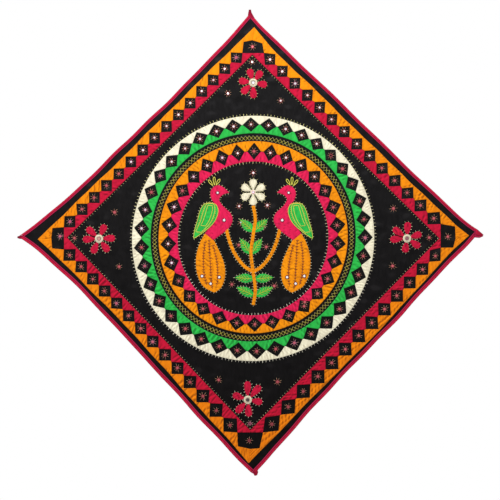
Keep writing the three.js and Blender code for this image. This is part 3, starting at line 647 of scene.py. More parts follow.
def strip_keys(side, outer):
    """Matching key points on the straight and the toothed edge of a strip, from end to end."""
    layout = band_layout(side)
    facing = 1 if outer else -1
    straight_t = (lambda s: band_width(side, s)) if outer else (lambda s: 0 * s)
    tips_s = np.stack([layout["tips"] - layout["half"], layout["tips"] + layout["half"]], 1)
    middle = band_width(side, layout["tips"]) / 2 + facing * GAP / 2
    tips_t = np.stack([middle + layout["skew"], middle - layout["skew"]], 1)
    valleys = layout["valleys"]
    hollow_t = band_width(side, valleys) - STRIP_RIM if outer else np.full(len(valleys), STRIP_RIM, float)
    tooth_s = np.concatenate([np.column_stack([valleys[:-1], tips_s]).ravel(), valleys[-1:]])
    tooth_t = np.concatenate([np.column_stack([hollow_t[:-1], tips_t]).ravel(), hollow_t[-1:]])
    straight = band_point(side, tooth_s, straight_t(tooth_s))
    toothed = band_point(side, tooth_s, tooth_t)
    ends = [strip_end(side, layout, outer, finish) for finish in (False, True)]
    straight = np.concatenate([ends[0][0], straight, ends[1][0][::-1]])
    toothed = np.concatenate([ends[0][1], toothed, ends[1][1][::-1]])
    return straight, toothed


def strip_end(side, layout, outer, finish):
    """The straight and toothed key points of a strip's end, from the corner's diagonal inwards."""
    corner = side["to"] if finish else side["from"]
    shift = side["along"] * (-MITRE_GAP if finish else MITRE_GAP)
    tip = layout["end" if finish else "start"]
    tip_s = band_place(side, tip)[0]
    block, axis = corner["block"], np.asarray(corner["axis"], float)
    if not outer:
        diagonal = [corner["inner"] + axis * rise + shift for rise in (0, block["base"])]
        start = band_place(side, diagonal[0])[0]
        away = max(abs(tip_s - start), 1) * (-1 if finish else 1)
        straight = [diagonal[0], band_point(side, start + away, 0)]
        return np.array(straight), np.array([diagonal[1], tip - side["out"] * GAP / 2])
    sideways, outwards = block["shoulders"][0 if finish else 1]
    shoulder = block_point(corner, outwards, -sideways if finish else sideways)
    shoulder_s = band_place(side, shoulder)[0]
    block_top = block_point(corner, block["top"], 0) + shift
    rest = [band_point(side, s, band_width(side, s)) for s in (shoulder_s, tip_s)]
    straight = [corner["outer"] + shift, *rest]
    return np.array(straight), np.array([block_top, shoulder, tip + side["out"] * GAP / 2])


def wave_at(degrees, turns, at):
    """A cosine wave of so many turns round a ring."""
    return np.cos(np.radians(turns * (np.asarray(degrees) - at)))


def ring_radius(degrees, edge, inwards=0):
    """The radius of a ring's edge at an angle, lifted towards the top and a little oval."""
    radius, lift = edge
    oval, turned = RING_OVAL
    return radius + lift * wave_at(degrees, 1, 90) + oval * wave_at(degrees, 2, turned) - inwards


def ring_layout(ring):
    """Angles of the tips and the valleys round a toothed ring, and the middle of its band."""
    order = np.arange(-1, ring["teeth"] + 1)
    even = order * 360 / ring["teeth"]
    middle = tuple((a + b) / 2 for a, b in zip(ring["outside"], ring["inside"]))
    strayed = sum(size * wave_at(even, turns, at) for turns, size, at in ring["drift"])
    shift = np.degrees(hand_shift(order % ring["teeth"], ring["teeth"]) / middle[0])
    tips = ring["start"] + even + strayed + shift
    return tips[1:-1], (tips[1:] + tips[:-1])[:-1] / 2, middle


# Meshes

FACE_KEYS = ("faces", "caps")


def shell_faces(rows, columns, closed):
    """Quads of a closed shell: a front grid, the same grid behind it and the walls between."""
    i = np.arange(rows if closed else rows - 1)[:, None]
    j = np.arange(columns - 1)[None, :]
    after = (i + 1) % rows
    a, b = i * columns + j, after * columns + j
    c, d = after * columns + j + 1, i * columns + j + 1
    back = rows * columns
    front = np.stack([a, b, c, d], -1).reshape(-1, 4)
    i, after = i[:, 0], after[:, 0]
    low_a, low_b = i * columns, after * columns
    high_a, high_b = i * columns + columns - 1, after * columns + columns - 1
    walls = [
        np.stack([low_b, low_a, low_a + back, low_b + back], -1),
        np.stack([high_a, high_b, high_b + back, high_a + back], -1),
    ]
    if not closed:
        j = np.arange(columns - 1)
        end = (rows - 1) * columns
        walls.append(np.stack([j, j + 1, j + 1 + back, j + back], -1))
        walls.append(np.stack([end + j + 1, end + j, end + j + back, end + j + 1 + back], -1))
    return np.concatenate([front, front[:, [0, 3, 2, 1]] + back, *walls])


def plan_turn(grid):
    """Whether the quads of a plan grid run anticlockwise on the whole."""
    across = grid[1:, 1:] - grid[:-1, :-1]
    other = grid[:-1, 1:] - grid[1:, :-1]
    return np.sum(across[..., 0] * other[..., 1] - across[..., 1] * other[..., 0]) > 0


def rim_distance(grid, closed, ends=True):
    """Distance in plan from each grid point to the two long edges, and to the ends if they count."""
    to_low = np.linalg.norm(grid - grid[:, :1], axis=-1)
    to_high = np.linalg.norm(grid - grid[:, -1:], axis=-1)
    rim = np.minimum(to_low, to_high)
    if not closed and ends:
        to_start = np.linalg.norm(grid - grid[:1], axis=-1)
        to_end = np.linalg.norm(grid - grid[-1:], axis=-1)
        rim = np.minimum(rim, np.minimum(to_start, to_end))
    return rim


def rounded(rim, radius):
    """A quarter-round rise from 0 at the rim to 1 at a radius inside it."""
    inside = np.clip(rim / radius, 0, 1)
    return np.sqrt(1 - (1 - inside) ** 2)


def twice(values):
    """Values on the front grid of a shell, repeated for its back."""
    return np.tile(values.ravel(), 2)


def laid_patch(grid, back=PATCH_BACK, front=PATCH_FRONT, lift=0, closed=False, ends=True):
    """A closed thin shell on a plan grid: flat behind, turned under at its rim, lifted in puckers."""
    rim = rim_distance(grid, closed, ends)
    rise = LEAST_RIM + (front - back - LEAST_RIM) * rounded(rim, TURNED_EDGE)
    rise = rise + lift * np.clip(rim / (2 * TURNED_EDGE), 0, 1)
    points = np.concatenate([lie(grid, back + rise).reshape(-1, 3), lie(grid, back).reshape(-1, 3)])
    faces = shell_faces(grid.shape[0], grid.shape[1], closed)
    if not plan_turn(grid):
        faces = faces[:, ::-1]
    return {"points": points, "faces": faces, "rim": twice(rim)}


def section_faces(copies, rows, sides, wrapped=False):
    """Quads of sections carried along paths: copies of so many rows, each row a ring of points. A
    wrapped path joins its last row to its first."""
    start = np.arange(copies)[:, None, None] * rows * sides
    i = np.arange(rows if wrapped else rows - 1)[None, :, None]
    j = np.arange(sides)[None, None, :]
    after, beside = (i + 1) % rows, (j + 1) % sides
    corners = [i * sides + j, after * sides + j, after * sides + beside, i * sides + beside]
    return np.stack([start + corner for corner in corners], -1).reshape(-1, 4)


def section_caps(copies, rows, sides):
    """The first and the last row of each carried section, as faces that close it."""
    start = np.arange(copies)[:, None] * rows * sides
    first = start + np.arange(sides)
    last = start + (rows - 1) * sides + np.arange(sides)[::-1]
    return [*first.tolist(), *last.tolist()]


def tubes(paths, depth, radius, colour, closed=False):
    """Threads along plan paths (threads, points, 2): circles of the given radius set square to each
    path, whose ends are closed by flat caps. All threads, each thread or each point has its colour."""
    paths = np.asarray(paths, float)
    threads, count = paths.shape[:2]
    radius = np.broadcast_to(radius, (threads, count))[..., None]
    tangent = np.roll(paths, -1, 1) - np.roll(paths, 1, 1) if closed else np.gradient(paths, axis=1)
    across = clockwise(unit(tangent))
    turn = 2 * np.pi * np.arange(THREAD_SIDES) / THREAD_SIDES
    plan = paths[:, :, None] + across[:, :, None] * (radius * np.cos(turn))[..., None]
    back = back_of(paths, np.broadcast_to(depth, (threads, count)))
    points = placed(plan, back[..., None] - radius * np.sin(turn) * MM)
    colour = np.asarray(colour, float)
    colour = colour[:, None] if colour.ndim == 2 else colour
    dye = np.broadcast_to(colour, (threads, count, 3)).repeat(THREAD_SIDES, axis=1)
    return {
        "points": points.reshape(-1, 3), "faces": section_faces(threads, count, THREAD_SIDES, closed),
        "caps": [] if closed else section_caps(threads, count, THREAD_SIDES),
        "thread_colour": dye.reshape(-1, 3),
    }


def stitches(starts, ends, depths, radius, colour, lift=STITCH_LIFT):
    """Short straight stitches between two depths that rise in the middle and thin at both ends."""
    share = np.linspace(0, 1, STITCH_POINTS)
    paths = starts[:, None] * (1 - share[:, None]) + ends[:, None] * share[:, None]
    arch = 4 * share * (1 - share)
    size = np.asarray(radius).reshape(-1, 1) * (STITCH_THINNING + (1 - STITCH_THINNING) * np.sqrt(arch))
    depth = depths[0] + (depths[1] - depths[0]) * share + lift * arch
    return tubes(paths, depth, size, colour)


def hoops(centres, ring, radius, depth, colour):
    """Closed thread rings round plan centres."""
    ring = np.broadcast_to(ring, len(centres)).reshape(-1, 1, 1)
    turn = polar(np.arange(HOOP_POINTS) * 360 / HOOP_POINTS)
    return tubes(np.asarray(centres)[:, None] + turn[None] * ring, depth, radius, colour, closed=True)


def running_line(line, depth, radius, colour, closed=False):
    """One long thread along a plan line."""
    return tubes(np.asarray(line)[None], depth, radius, colour, closed)


def buttons(centres, radius, back, height, tint, tilt=0):
    """Small round mirrors: a flat face, a bevelled edge and a flat back, each leaning by its tilt."""
    centres = np.asarray(centres, float)
    count, rows = len(centres), len(MIRROR_PROFILE)
    shares, rises = np.array(MIRROR_PROFILE, float).T
    turn = polar(np.arange(MIRROR_SIDES) * 360 / MIRROR_SIDES)
    reach = np.broadcast_to(radius, count)[:, None] * shares
    offset = turn[None, None] * reach[..., None, None]
    plan = centres[:, None, None] + offset
    tilt = np.broadcast_to(tilt, (count, 2))
    lean = ((plan - centres[:, None, None]) * tilt[:, None, None]).sum(-1)
    rise = height * rises[None, :, None] + lean * (rises[None, :, None] > 0)
    points = placed(plan, back_of(centres, back)[:, None, None] - rise * MM)
    return {
        "points": points.reshape(-1, 3), "faces": section_faces(count, rows, MIRROR_SIDES)[:, [1, 2, 3, 0]],
        "caps": section_caps(count, rows, MIRROR_SIDES),
        "tint": np.broadcast_to(tint, (count, 3)).repeat(rows * MIRROR_SIDES, axis=0),
    }


def gathered(parts):
    """Several meshes as one, with their attributes end to end."""
    caps, start = [], 0
    for part in parts:
        caps += [[index + start for index in cap] for cap in part.get("caps", [])]
        start += len(part["points"])
    counts = [len(part["points"]) for part in parts]
    starts = np.cumsum([0, *counts[:-1]])
    faces = np.concatenate([part["faces"] + first for part, first in zip(parts, starts)])
    names = [name for name in parts[0] if name not in FACE_KEYS]
    rest = {name: np.concatenate([part[name] for part in parts]) for name in names}
    return {**rest, "faces": faces, "caps": caps}


def make_piece(name, made, material, nodes=(), smooth=True):
    """A mesh object from points, quads, caps and point attributes, riding on the hanging."""
    mesh = bpy.data.meshes.new(name)
    mesh.from_pydata(made["points"].tolist(), [], made["faces"].tolist() + made.get("caps", []))
    for key in made:
        if key in ("points", *FACE_KEYS):
            continue
        values = np.asarray(made[key], np.float32)
        if values.ndim == 2:
            attribute = mesh.attributes.new(key, "FLOAT_COLOR", "POINT")
            attribute.data.foreach_set("color", np.column_stack([values, np.ones(len(values))]).ravel())
        else:
            mesh.attributes.new(key, "FLOAT", "POINT").data.foreach_set("value", values)
    mesh.polygons.foreach_set("use_smooth", [smooth] * len(mesh.polygons))
    mesh.materials.append(material)
    mesh.update()
    piece = bpy.data.objects.new(name, mesh)
    bpy.context.scene.collection.objects.link(piece)
    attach(piece, BODY)
    if nodes:
        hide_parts(*nodes)
    return piece


# Materials

def paint(red, green, blue):
    """A screen colour, from 0 to 255 a channel, as linear light."""
    shares = np.array([red, green, blue]) / 255
    return tuple(np.where(shares <= 0.04045, shares / 12.92, ((shares + 0.055) / 1.055) ** 2.4).tolist())


def add_node(tree, kind, settings=None, inputs=None):
    """A node with its settings, and its inputs as values or as sockets to link."""
    node = tree.nodes.new(kind)
    for key, value in (settings or {}).items():
        setattr(node, key, value)
    for key, value in (inputs or {}).items():
        if isinstance(value, bpy.types.NodeSocket):
            tree.links.new(value, node.inputs[key])
        else:
            node.inputs[key].default_value = value
    return node


def arithmetic(tree, operation, *values):
    """The result of a math node on values or sockets."""
    return add_node(tree, "ShaderNodeMath", {"operation": operation}, dict(enumerate(values))).outputs[0]


def blended(tree, share, first, second, kind="MIX"):
    """The colour between two colours, by a share."""
    node = add_node(tree, "ShaderNodeMix", {"data_type": "RGBA", "blend_type": kind})
    for key, value in ((0, share), (6, first), (7, second)):
        if isinstance(value, bpy.types.NodeSocket):
            tree.links.new(value, node.inputs[key])
        else:
            node.inputs[key].default_value = value if key == 0 else (*value, 1)
    return node.outputs[2]


def mapped(tree, value, band, into=(0.0, 1.0)):
    """A value mapped smoothly from one range to another."""
    settings = {"interpolation_type": "SMOOTHSTEP"}
    return add_node(tree, "ShaderNodeMapRange", settings, dict(enumerate((value, *band, *into)))).outputs[0]


def scaled(tree, value, factor):
    """A value times a factor."""
    return arithmetic(tree, "MULTIPLY", value, factor)


def weighed(tree, first, second, weights):
    """The sum of two values, each times its weight."""
    return arithmetic(tree, "MULTIPLY_ADD", first, weights[0], scaled(tree, second, weights[1]))


def apart(tree, value, middle):
    """How far a value is from a middle one."""
    return arithmetic(tree, "ABSOLUTE", arithmetic(tree, "SUBTRACT", value, middle))


def noise(tree, place, scale, detail=2.0, roughness=0.5):
    """The value of a noise texture."""
    inputs = {"Vector": place, "Scale": scale, "Detail": detail, "Roughness": roughness}
    return add_node(tree, "ShaderNodeTexNoise", None, inputs).outputs["Fac"]


def wave(tree, place, direction, scale, distortion, detail=2.0):
    """The value of a wave texture."""
    inputs = {"Vector": place, "Scale": scale, "Distortion": distortion, "Detail": detail}
    return add_node(tree, "ShaderNodeTexWave", {"bands_direction": direction}, inputs).outputs["Fac"]


def darkened(tree, colour, value):
    """A colour from a socket at a share of its brightness."""
    return add_node(tree, "ShaderNodeHueSaturation", None, {"Value": value, "Color": colour}).outputs[0]


def bumped(tree, shader, height, strength, distance):
    """Gives a shader the relief of a height."""
    inputs = {"Strength": strength, "Distance": distance, "Height": height}
    tree.links.new(add_node(tree, "ShaderNodeBump", None, inputs).outputs[0], shader.inputs["Normal"])


def shader_group(name, inputs, make):
    """A shader node group whose outputs are the sockets that a function makes from its inputs."""
    group = bpy.data.node_groups.new(name, "ShaderNodeTree")
    for label, kind in inputs.items():
        group.interface.new_socket(name=label, in_out="INPUT", socket_type=kind)
    given = group.nodes.new("NodeGroupInput").outputs
    made = make(group, *(given[label] for label in inputs))
    for label in made:
        group.interface.new_socket(name=label, in_out="OUTPUT", socket_type="NodeSocketFloat")
    out = group.nodes.new("NodeGroupOutput").inputs
    for label, socket in made.items():
        group.links.new(socket, out[label])
    return group


def plain_weave(tree, place, threads):
    """Plain weave: upright and level threads that pass over each other, with uneven slubs."""
    waves = [wave(tree, place, way, threads, **WEAVE_WAVE) for way in ("X", "Z")]
    crossed = arithmetic(tree, "MAXIMUM", *waves)
    height = weighed(tree, noise(tree, place, **SLUB_NOISE), crossed, WEAVE_WEIGHTS)
    return {"Shade": mapped(tree, height, WEAVE_BAND), "Height": height}


def sewn_crumple(tree, place):
    """Soft crumples of hand-sewn cloth: stretched noise for small folds and wide noise for fading."""
    folds = []
    for turn, stretch in FOLD_STRETCHES:
        inputs = {"Vector": place, "Rotation": (0.0, turn, 0.0), "Scale": stretch}
        stretched = add_node(tree, "ShaderNodeMapping", None, inputs).outputs[0]
        folds.append(noise(tree, stretched, **FOLD_NOISE))
    height = scaled(tree, arithmetic(tree, "ADD", *folds), 1 / len(folds))
    return {"Fade": mapped(tree, noise(tree, place, **FADE_NOISE), FADE_BAND), "Height": height}


def plied_thread(tree, place):
    """Plied thread: fine slanting bands with a little fuzz."""
    height = weighed(
        tree, noise(tree, place, **FUZZ_NOISE), wave(tree, place, "DIAGONAL", **PLY_WAVE), PLY_WEIGHTS
    )
    return {"Shade": mapped(tree, height, PLY_BAND), "Height": height}


def shader_groups():
    """The node groups that the materials share, by what they are for."""
    vector, number = "NodeSocketVector", "NodeSocketFloat"
    return {
        "weave": shader_group("plain_weave", {"Vector": vector, "Threads": number}, plain_weave),
        "crumple": shader_group("sewn_crumple", {"Vector": vector}, sewn_crumple),
        "ply": shader_group("plied_thread", {"Vector": vector}, plied_thread),
    }


def use_group(tree, group, place, **inputs):
    """The outputs of a group placed in a material."""
    return add_node(tree, "ShaderNodeGroup", {"node_tree": group}, {"Vector": place, **inputs}).outputs


def new_material(name):
    """A node material with its tree, its Principled shader and its Object coordinates."""
    material = bpy.data.materials.new(name)
    material.use_nodes = True
    tree = material.node_tree
    shader = tree.nodes["Principled BSDF"]
    return material, tree, shader, tree.nodes.new("ShaderNodeTexCoord").outputs["Object"]


def attribute(tree, name, output="Fac"):
    """A point attribute of the mesh as a socket."""
    return add_node(tree, "ShaderNodeAttribute", {"attribute_name": name}).outputs[output]


def shaded(colour, factor):
    """A colour made darker or lighter."""
    return tuple(min(channel * factor, 1.0) for channel in colour)


def cotton(name, colour, groups, look):
    """Sewn cotton: weave and crumples in colour and bump, painted shade and light on its soft folds and
    puckers, and painted shade on its turned rim, in its sunk seam and towards the bottom corner.
    """
    look = {**COTTON, **look}
    material, tree, shader, place = new_material(name)
    weave = use_group(tree, groups["weave"], place, Threads=WEAVE_THREADS)
    folds = use_group(tree, groups["crumple"], place)
    crease, rim = attribute(tree, "crease"), attribute(tree, "rim")
    # Painted shade and painted light on the soft folds: darker and lighter copies of the colour, by the
    # crumple noise
    dark, light = (shaded(colour, 1 + look["contrast"] * way) for way in (-1, FOLD_LIGHT))
    tone = blended(tree, mapped(tree, folds["Height"], FOLD_BAND), dark, light)
    # Fade is random tone and weave the cloth's texture; the hollow and ridge layers are painted shade in the
    # pucker hollows and painted light on their ridges
    for share, shade in (
        (scaled(tree, folds["Fade"], FADE["share"]), FADE["shade"]),
        (scaled(tree, weave["Shade"], WEAVE["share"]), WEAVE["shade"]),
        (mapped(tree, crease, PAINTED_HOLLOW["band"], (PAINTED_HOLLOW["share"], 0.0)), look["hollow_shade"]),
        (mapped(tree, crease, PAINTED_RIDGE_BAND), look["ridge_light"]),
    ):
        tone = blended(tree, share, tone, shaded(colour, shade))
    # Painted shade towards the bottom corner, where less light falls
    bottom_shaded = blended(tree, 1.0, tone, look["deeper"], "MULTIPLY")
    tone = blended(tree, attribute(tree, "dye"), tone, bottom_shaded)
    # Painted shade on the turned rim and in the sunk seam
    edge = mapped(tree, rim, RIM["band"], (RIM["share"], 0.0))
    seam = mapped(tree, apart(tree, rim, SEAM["inset"]), SEAM["band"], (SEAM["share"], 0.0))
    tone = blended(tree, arithmetic(tree, "MAXIMUM", edge, seam), tone, shaded(colour, PAINTED_RIM_SHADE))
    tree.links.new(tone, shader.inputs["Base Color"])
    tree.links.new(mapped(tree, weave["Shade"], (0.0, 1.0), COTTON_ROUGHNESS), shader.inputs["Roughness"])
    weights = (look["crumple"] * BUMP_WEIGHTS["crumple"], BUMP_WEIGHTS["weave"])
    bumped(tree, shader, weighed(tree, folds["Height"], weave["Height"], weights), **COTTON_BUMP)
    shader.inputs["Specular IOR Level"].default_value = look["specular"]
    shader.inputs["Sheen Weight"].default_value = look["sheen"]
    shader.inputs["Sheen Roughness"].default_value = SHEEN_ROUGHNESS
    return material


def tape_material(name, colours, groups):
    """Binding cloth: the sewn cotton with painted shade on its outer fold, seam and rims, a painted mauve
    highlight on its inner fold, and dark tips.
    """
    material = cotton(name, colours.binding, groups, TAPE_COTTON)
    tree = material.node_tree
    shader = tree.nodes["Principled BSDF"]
    tone = shader.inputs["Base Color"].links[0].from_socket
    across = attribute(tree, "across")
    # Painted mauve highlight on the inner fold
    tone = blended(tree, mapped(tree, across, **TAPE_FOLD_HIGHLIGHT), tone, colours.binding_fold_highlight)
    # Painted shade in the seam and along both rims
    marks = [(apart(tree, across, TAPE_SEAM_SHADE["middle"]), TAPE_SEAM_SHADE["band"], TAPE_SEAM_SHADE["into"])]
    marks += [(across, *rim) for rim in TAPE_RIM_SHADES]
    # The darker tips, in the same colour as the painted shade
    dark = attribute(tree, "tip")
    for mark in marks:
        dark = arithmetic(tree, "MAXIMUM", dark, mapped(tree, *mark))
    tree.links.new(blended(tree, dark, tone, colours.binding_shade_and_tips), shader.inputs["Base Color"])
    return material


def thread(name, groups):
    """Embroidery thread, in the colour that each stitch carries."""
    material, tree, shader, place = new_material(name)
    ply = use_group(tree, groups["ply"], place)
    own = attribute(tree, "thread_colour", "Color")
    amount = mapped(tree, ply["Shade"], (0.0, 1.0), PLY["into"])
    tone = blended(tree, amount, own, darkened(tree, own, PLY["dark"]))
    tree.links.new(tone, shader.inputs["Base Color"])
    bumped(tree, shader, ply["Height"], **THREAD_BUMP)
    shader.inputs["Roughness"].default_value = THREAD_ROUGHNESS
    shader.inputs["Specular IOR Level"].default_value = THREAD_SPECULAR
    return material


def mirror_glass(name, groups):
    """Small old mirrors: silver, or with a painted rosy reflection and painted shade, by their tint, with
    faint blotches.
    """
    material, tree, shader, place = new_material(name)
    blotches = use_group(tree, groups["crumple"], place)["Height"]
    tint = attribute(tree, "tint", "Color")
    tone = blended(tree, scaled(tree, blotches, GLASS["share"]), tint, darkened(tree, tint, GLASS["worn"]))
    tree.links.new(tone, shader.inputs["Base Color"])
    tree.links.new(mapped(tree, blotches, GLASS["band"], GLASS["roughness"]), shader.inputs["Roughness"])
    shader.inputs["Metallic"].default_value = 1.0
    return material


MATERIALS = {}


def finish_of(scene, name):
    """One of the hanging's materials, by what it is for. All of them are made at the first call."""
    if not MATERIALS:
        colours, groups = scene.hanging_colours, shader_groups()
        MATERIALS["ground"] = cotton("black_cotton", colours.ground, groups, GROUND_COTTON)
        MATERIALS["binding"] = tape_material("crimson_tape", colours, groups)
        for cloth, shade in HOLLOW_SHADES.items():
            MATERIALS[cloth] = cotton(cloth + "_cotton", getattr(colours, cloth), groups, {"hollow_shade": shade})
        MATERIALS["thread"] = thread("embroidery_thread", groups)
        MATERIALS["mirror"] = mirror_glass("old_mirror", groups)
    return MATERIALS[name]


# Shapes of the pieces

def ruled(first, second):
    """A plan grid of straight lines from one polyline to the other."""
    return first[:, None] + (second - first)[:, None] * ACROSS[None, :, None]


def ripples(local, seed, lengths, heading, spread):
    """Uneven ripples: a sum of sines of several lengths and headings, stronger in some places."""
    draw = np.random.default_rng(seed)
    turn = heading + draw.uniform(-spread, spread, RIPPLE_COUNT)
    waves = polar(turn) * (2 * np.pi / draw.uniform(*lengths, RIPPLE_COUNT))[:, None]
    phase = draw.uniform(0, 2 * np.pi, RIPPLE_COUNT)
    fine = np.sin(local @ waves.T + phase).sum(-1) / math.sqrt(RIPPLE_COUNT / 2)
    few = RIPPLE_SWELL["waves"]
    slow = np.sin(local @ (waves[:few].T / RIPPLE_SWELL["longer"]) + phase[few:2 * few]).sum(-1)
    return fine * (RIPPLE_SWELL["level"] + RIPPLE_SWELL["size"] * slow)


def local_grid(grid):
    """Distances along and across a plan grid, in millimetres."""
    along = along_line(grid[:, 0])[:, None] + 0 * grid[..., 0]
    return np.stack([along, np.linalg.norm(grid - grid[:, :1], axis=-1)], -1)


def puckered_patch(grid, seed, height, lengths, heading, spread, crown=0, shaded_downwards=False, **how):
    """A laid patch with the puckers of sewn cloth, stronger further down, and their place for its
    material, which paints shade in the hollows and light on the ridges. If asked, it also carries how far
    down it lies, for painted shade towards the bottom corner."""
    drop = drop_share(grid)
    low, high = PUCKER_GROWTH
    waves = ripples(local_grid(grid), seed, lengths, heading, spread) * (low + (high - low) * drop)
    made = laid_patch(grid, lift=crown + height * waves, **how)
    return {**made, "crease": twice(waves), "dye": twice(drop * shaded_downwards)}


def strip_patch(side, outer, height):
    """One toothed strip of a side, and its length along its straight edge."""
    keys = strip_keys(side, outer)
    straight, toothed = (subdivided(line, fine_steps(*keys)) for line in keys)
    seed = SEEDS["strips"] + side["index"] * 2 + outer
    made = puckered_patch(
        ruled(straight, toothed), seed, height, heading=side["pucker"], shaded_downwards=True, ends=False, **CLOTH_PUCKERS
    )
    return made, along_line(straight)[-1]


def ring_grid(ring, facing):
    """One toothed strip of a ring, as a plan grid round the disc."""
    tips, valleys, middle = ring_layout(ring)
    straight = ring["outside"] if facing > 0 else ring["inside"]
    order = np.arange(ring["teeth"])
    half_tip = np.degrees((ring["tip"] + hand_shift(order, ring["teeth"] + WIDTH_SERIES)) / 2 / middle[0])
    angles = np.column_stack([valleys, tips - half_tip, tips + half_tip])
    toothed = np.column_stack([
        ring_radius(angles[:, 0], straight, facing * STRIP_RIM),
        ring_radius(angles[:, 1:], middle, -facing * GAP / 2),
    ])
    keys = np.column_stack([angles.ravel(), toothed.ravel()])
    keys = np.concatenate([keys, [[keys[0, 0] + 360, keys[0, 1]]]])
    corners = polar(*keys.T)
    angle, radius = subdivided(keys, fine_steps(corners))[:-1].T
    edge = DISC_CENTRE + polar(angle, ring_radius(angle, straight))
    return ruled(edge, DISC_CENTRE + polar(angle, radius))


def petal_shape(share):
    """Half the width of a petal, from its neck at 0 to its round end at 1."""
    return PETAL_FULLNESS * share**PETAL_RISE * np.sqrt(np.maximum(1 - share**PETAL_ROUNDNESS, 0))


def petal_grids(centre, petals, style):
    """The plan grid of each petal of a flower, kept apart from its neighbours."""
    petals = sorted(((angle + 360) % 360, reach) for angle, reach in petals)
    share = np.sin(np.linspace(0, np.pi / 2, PETAL_ROWS))
    hub_reach = math.sqrt(style["hub"] ** 2 - style["neck"] ** 2)
    full = np.maximum(style["half"] * petal_shape(share), style["neck"] * (share < PETAL_NECK_SHARE))
    grids = []
    for i, (angle, reach) in enumerate(petals):
        before, after = petals[i - 1][0], petals[(i + 1) % len(petals)][0]
        along = hub_reach + (reach - hub_reach) * share
        edges = []
        for turn, hand in (((angle - before) % 360, -90), ((after - angle) % 360, 90)):
            room = along * math.tan(math.radians(turn / 2)) - GAP
            half = np.maximum(np.minimum(full, room), TIP_WIDTH)
            edges.append(centre + polar(angle, along) + polar(angle + hand) * half[:, None])
        grids.append(ruled(*edges))
    return grids


def disc_grid(centre, radius):
    """A round plan grid between two half circles."""
    turn = np.linspace(-90, 90, DISC_ROWS)
    return ruled(centre + polar(turn, radius), centre + polar(180 - turn, radius))


def outline(grid):
    """The closed plan outline of a grid."""
    return np.concatenate([grid[:, 0], grid[-1, 1:], grid[::-1, -1], grid[0, ::-1]])


def kept_apart(first, second):
    """Two polylines whose points stay a thread's width apart."""
    middle, half = (first + second) / 2, (second - first) / 2
    long = np.linalg.norm(half, axis=1, keepdims=True)
    square = -clockwise(unit(np.gradient(middle, axis=0)))
    way = np.sign((half * square).sum(1, keepdims=True) + TINY)
    half = np.where(long < TIP_WIDTH, square * TIP_WIDTH * way, half)
    return middle - half, middle + half


def between_grid(first, second, rows):
    """A plan grid between two smooth lines."""
    return ruled(*kept_apart(smooth_line(first, rows), smooth_line(second, rows)))


def stem_grid(line, rows):
    """A plan grid of the stem's even width along a smooth line."""
    middle = smooth_line(line, rows)
    across = -clockwise(unit(np.gradient(middle, axis=0))) * STEM_HALF_WIDTH
    return ruled(middle - across, middle + across)


def leaf_axis(leaf, mirror):
    """The base on the stem, the heading and the length of a leaf."""
    _, share, angle, length = leaf
    stem = smooth_line(STEM_LINE, STEM_PLACES + 1)
    return stem[round(share * STEM_PLACES)], polar(angle) * (mirror, 1), length


def leaf_shape(place):
    """Half the width of a leaf, from its base at 0 to its tip at 1."""
    return LEAF_HALF_WIDTH * np.sin(np.pi * place**LEAF_FULLNESS)


def leaf_grid(leaf, mirror):
    """A pointed leaf along its midrib, from the middle of the stem."""
    base, heading, length = leaf_axis(leaf, mirror)
    place = np.linspace(0, 1, LEAF_ROWS)
    spine = base + heading * (length * place)[:, None]
    across = -clockwise(heading) * np.maximum(leaf_shape(place), TIP_WIDTH)[:, None]
    return ruled(spine - across, spine + across)


def on_disc(plan, mirror=1):
    """Points of the centre panel in the panel's plan, mirrored for the left half."""
    return np.asarray(plan, float) * (mirror, 1) + DISC_CENTRE


def centre_grids():
    """Plan grids of the centre panel's pieces by node, with their cotton and their front depths."""
    grids = {"stem": on_disc(stem_grid(STEM_LINE, CENTRE_ROWS["stem"]))}
    for hand, mirror in HANDS:
        pieces = {"branch": stem_grid(BRANCH_LINE, CENTRE_ROWS["branch"])}
        for name, edges in (
            ("tail", (TAIL_INNER, TAIL_OUTER)),
            ("body", (BODY_FRONT, BODY_BACK)),
            ("wing", (WING_INNER, WING_OUTER)),
        ):
            pieces[name] = between_grid(*edges, CENTRE_ROWS[name])
        for name, grid in pieces.items():
            grids[name + "_" + hand] = on_disc(grid, mirror)
        for leaf in LEAVES:
            grids["leaf_" + leaf[0] + "_" + hand] = on_disc(leaf_grid(leaf, mirror))
    return {node: (grid, *CENTRE_CLOTH[node.split("_")[0]]) for node, grid in grids.items()}


def cloth_length(side):
    """The straight length of a side between its two corners."""
    return np.linalg.norm(np.subtract(side["to"]["cloth"], side["from"]["cloth"]))


def corner_tucked_edge(side, share):
    """The rim of the ground cloth inside the binding, tucked in a little more at the corners."""
    length = cloth_length(side)
    inset = TAPE_THICKNESS + GAP
    start = (inset + CORNER_TUCK) / length
    share = start + (1 - 2 * start) * share
    from_corner = np.minimum(share, 1 - share) * length
    return edge_point(side, share, inset + CORNER_TUCK * np.exp(-((from_corner / CORNER_TUCK_FADE) ** 2)))


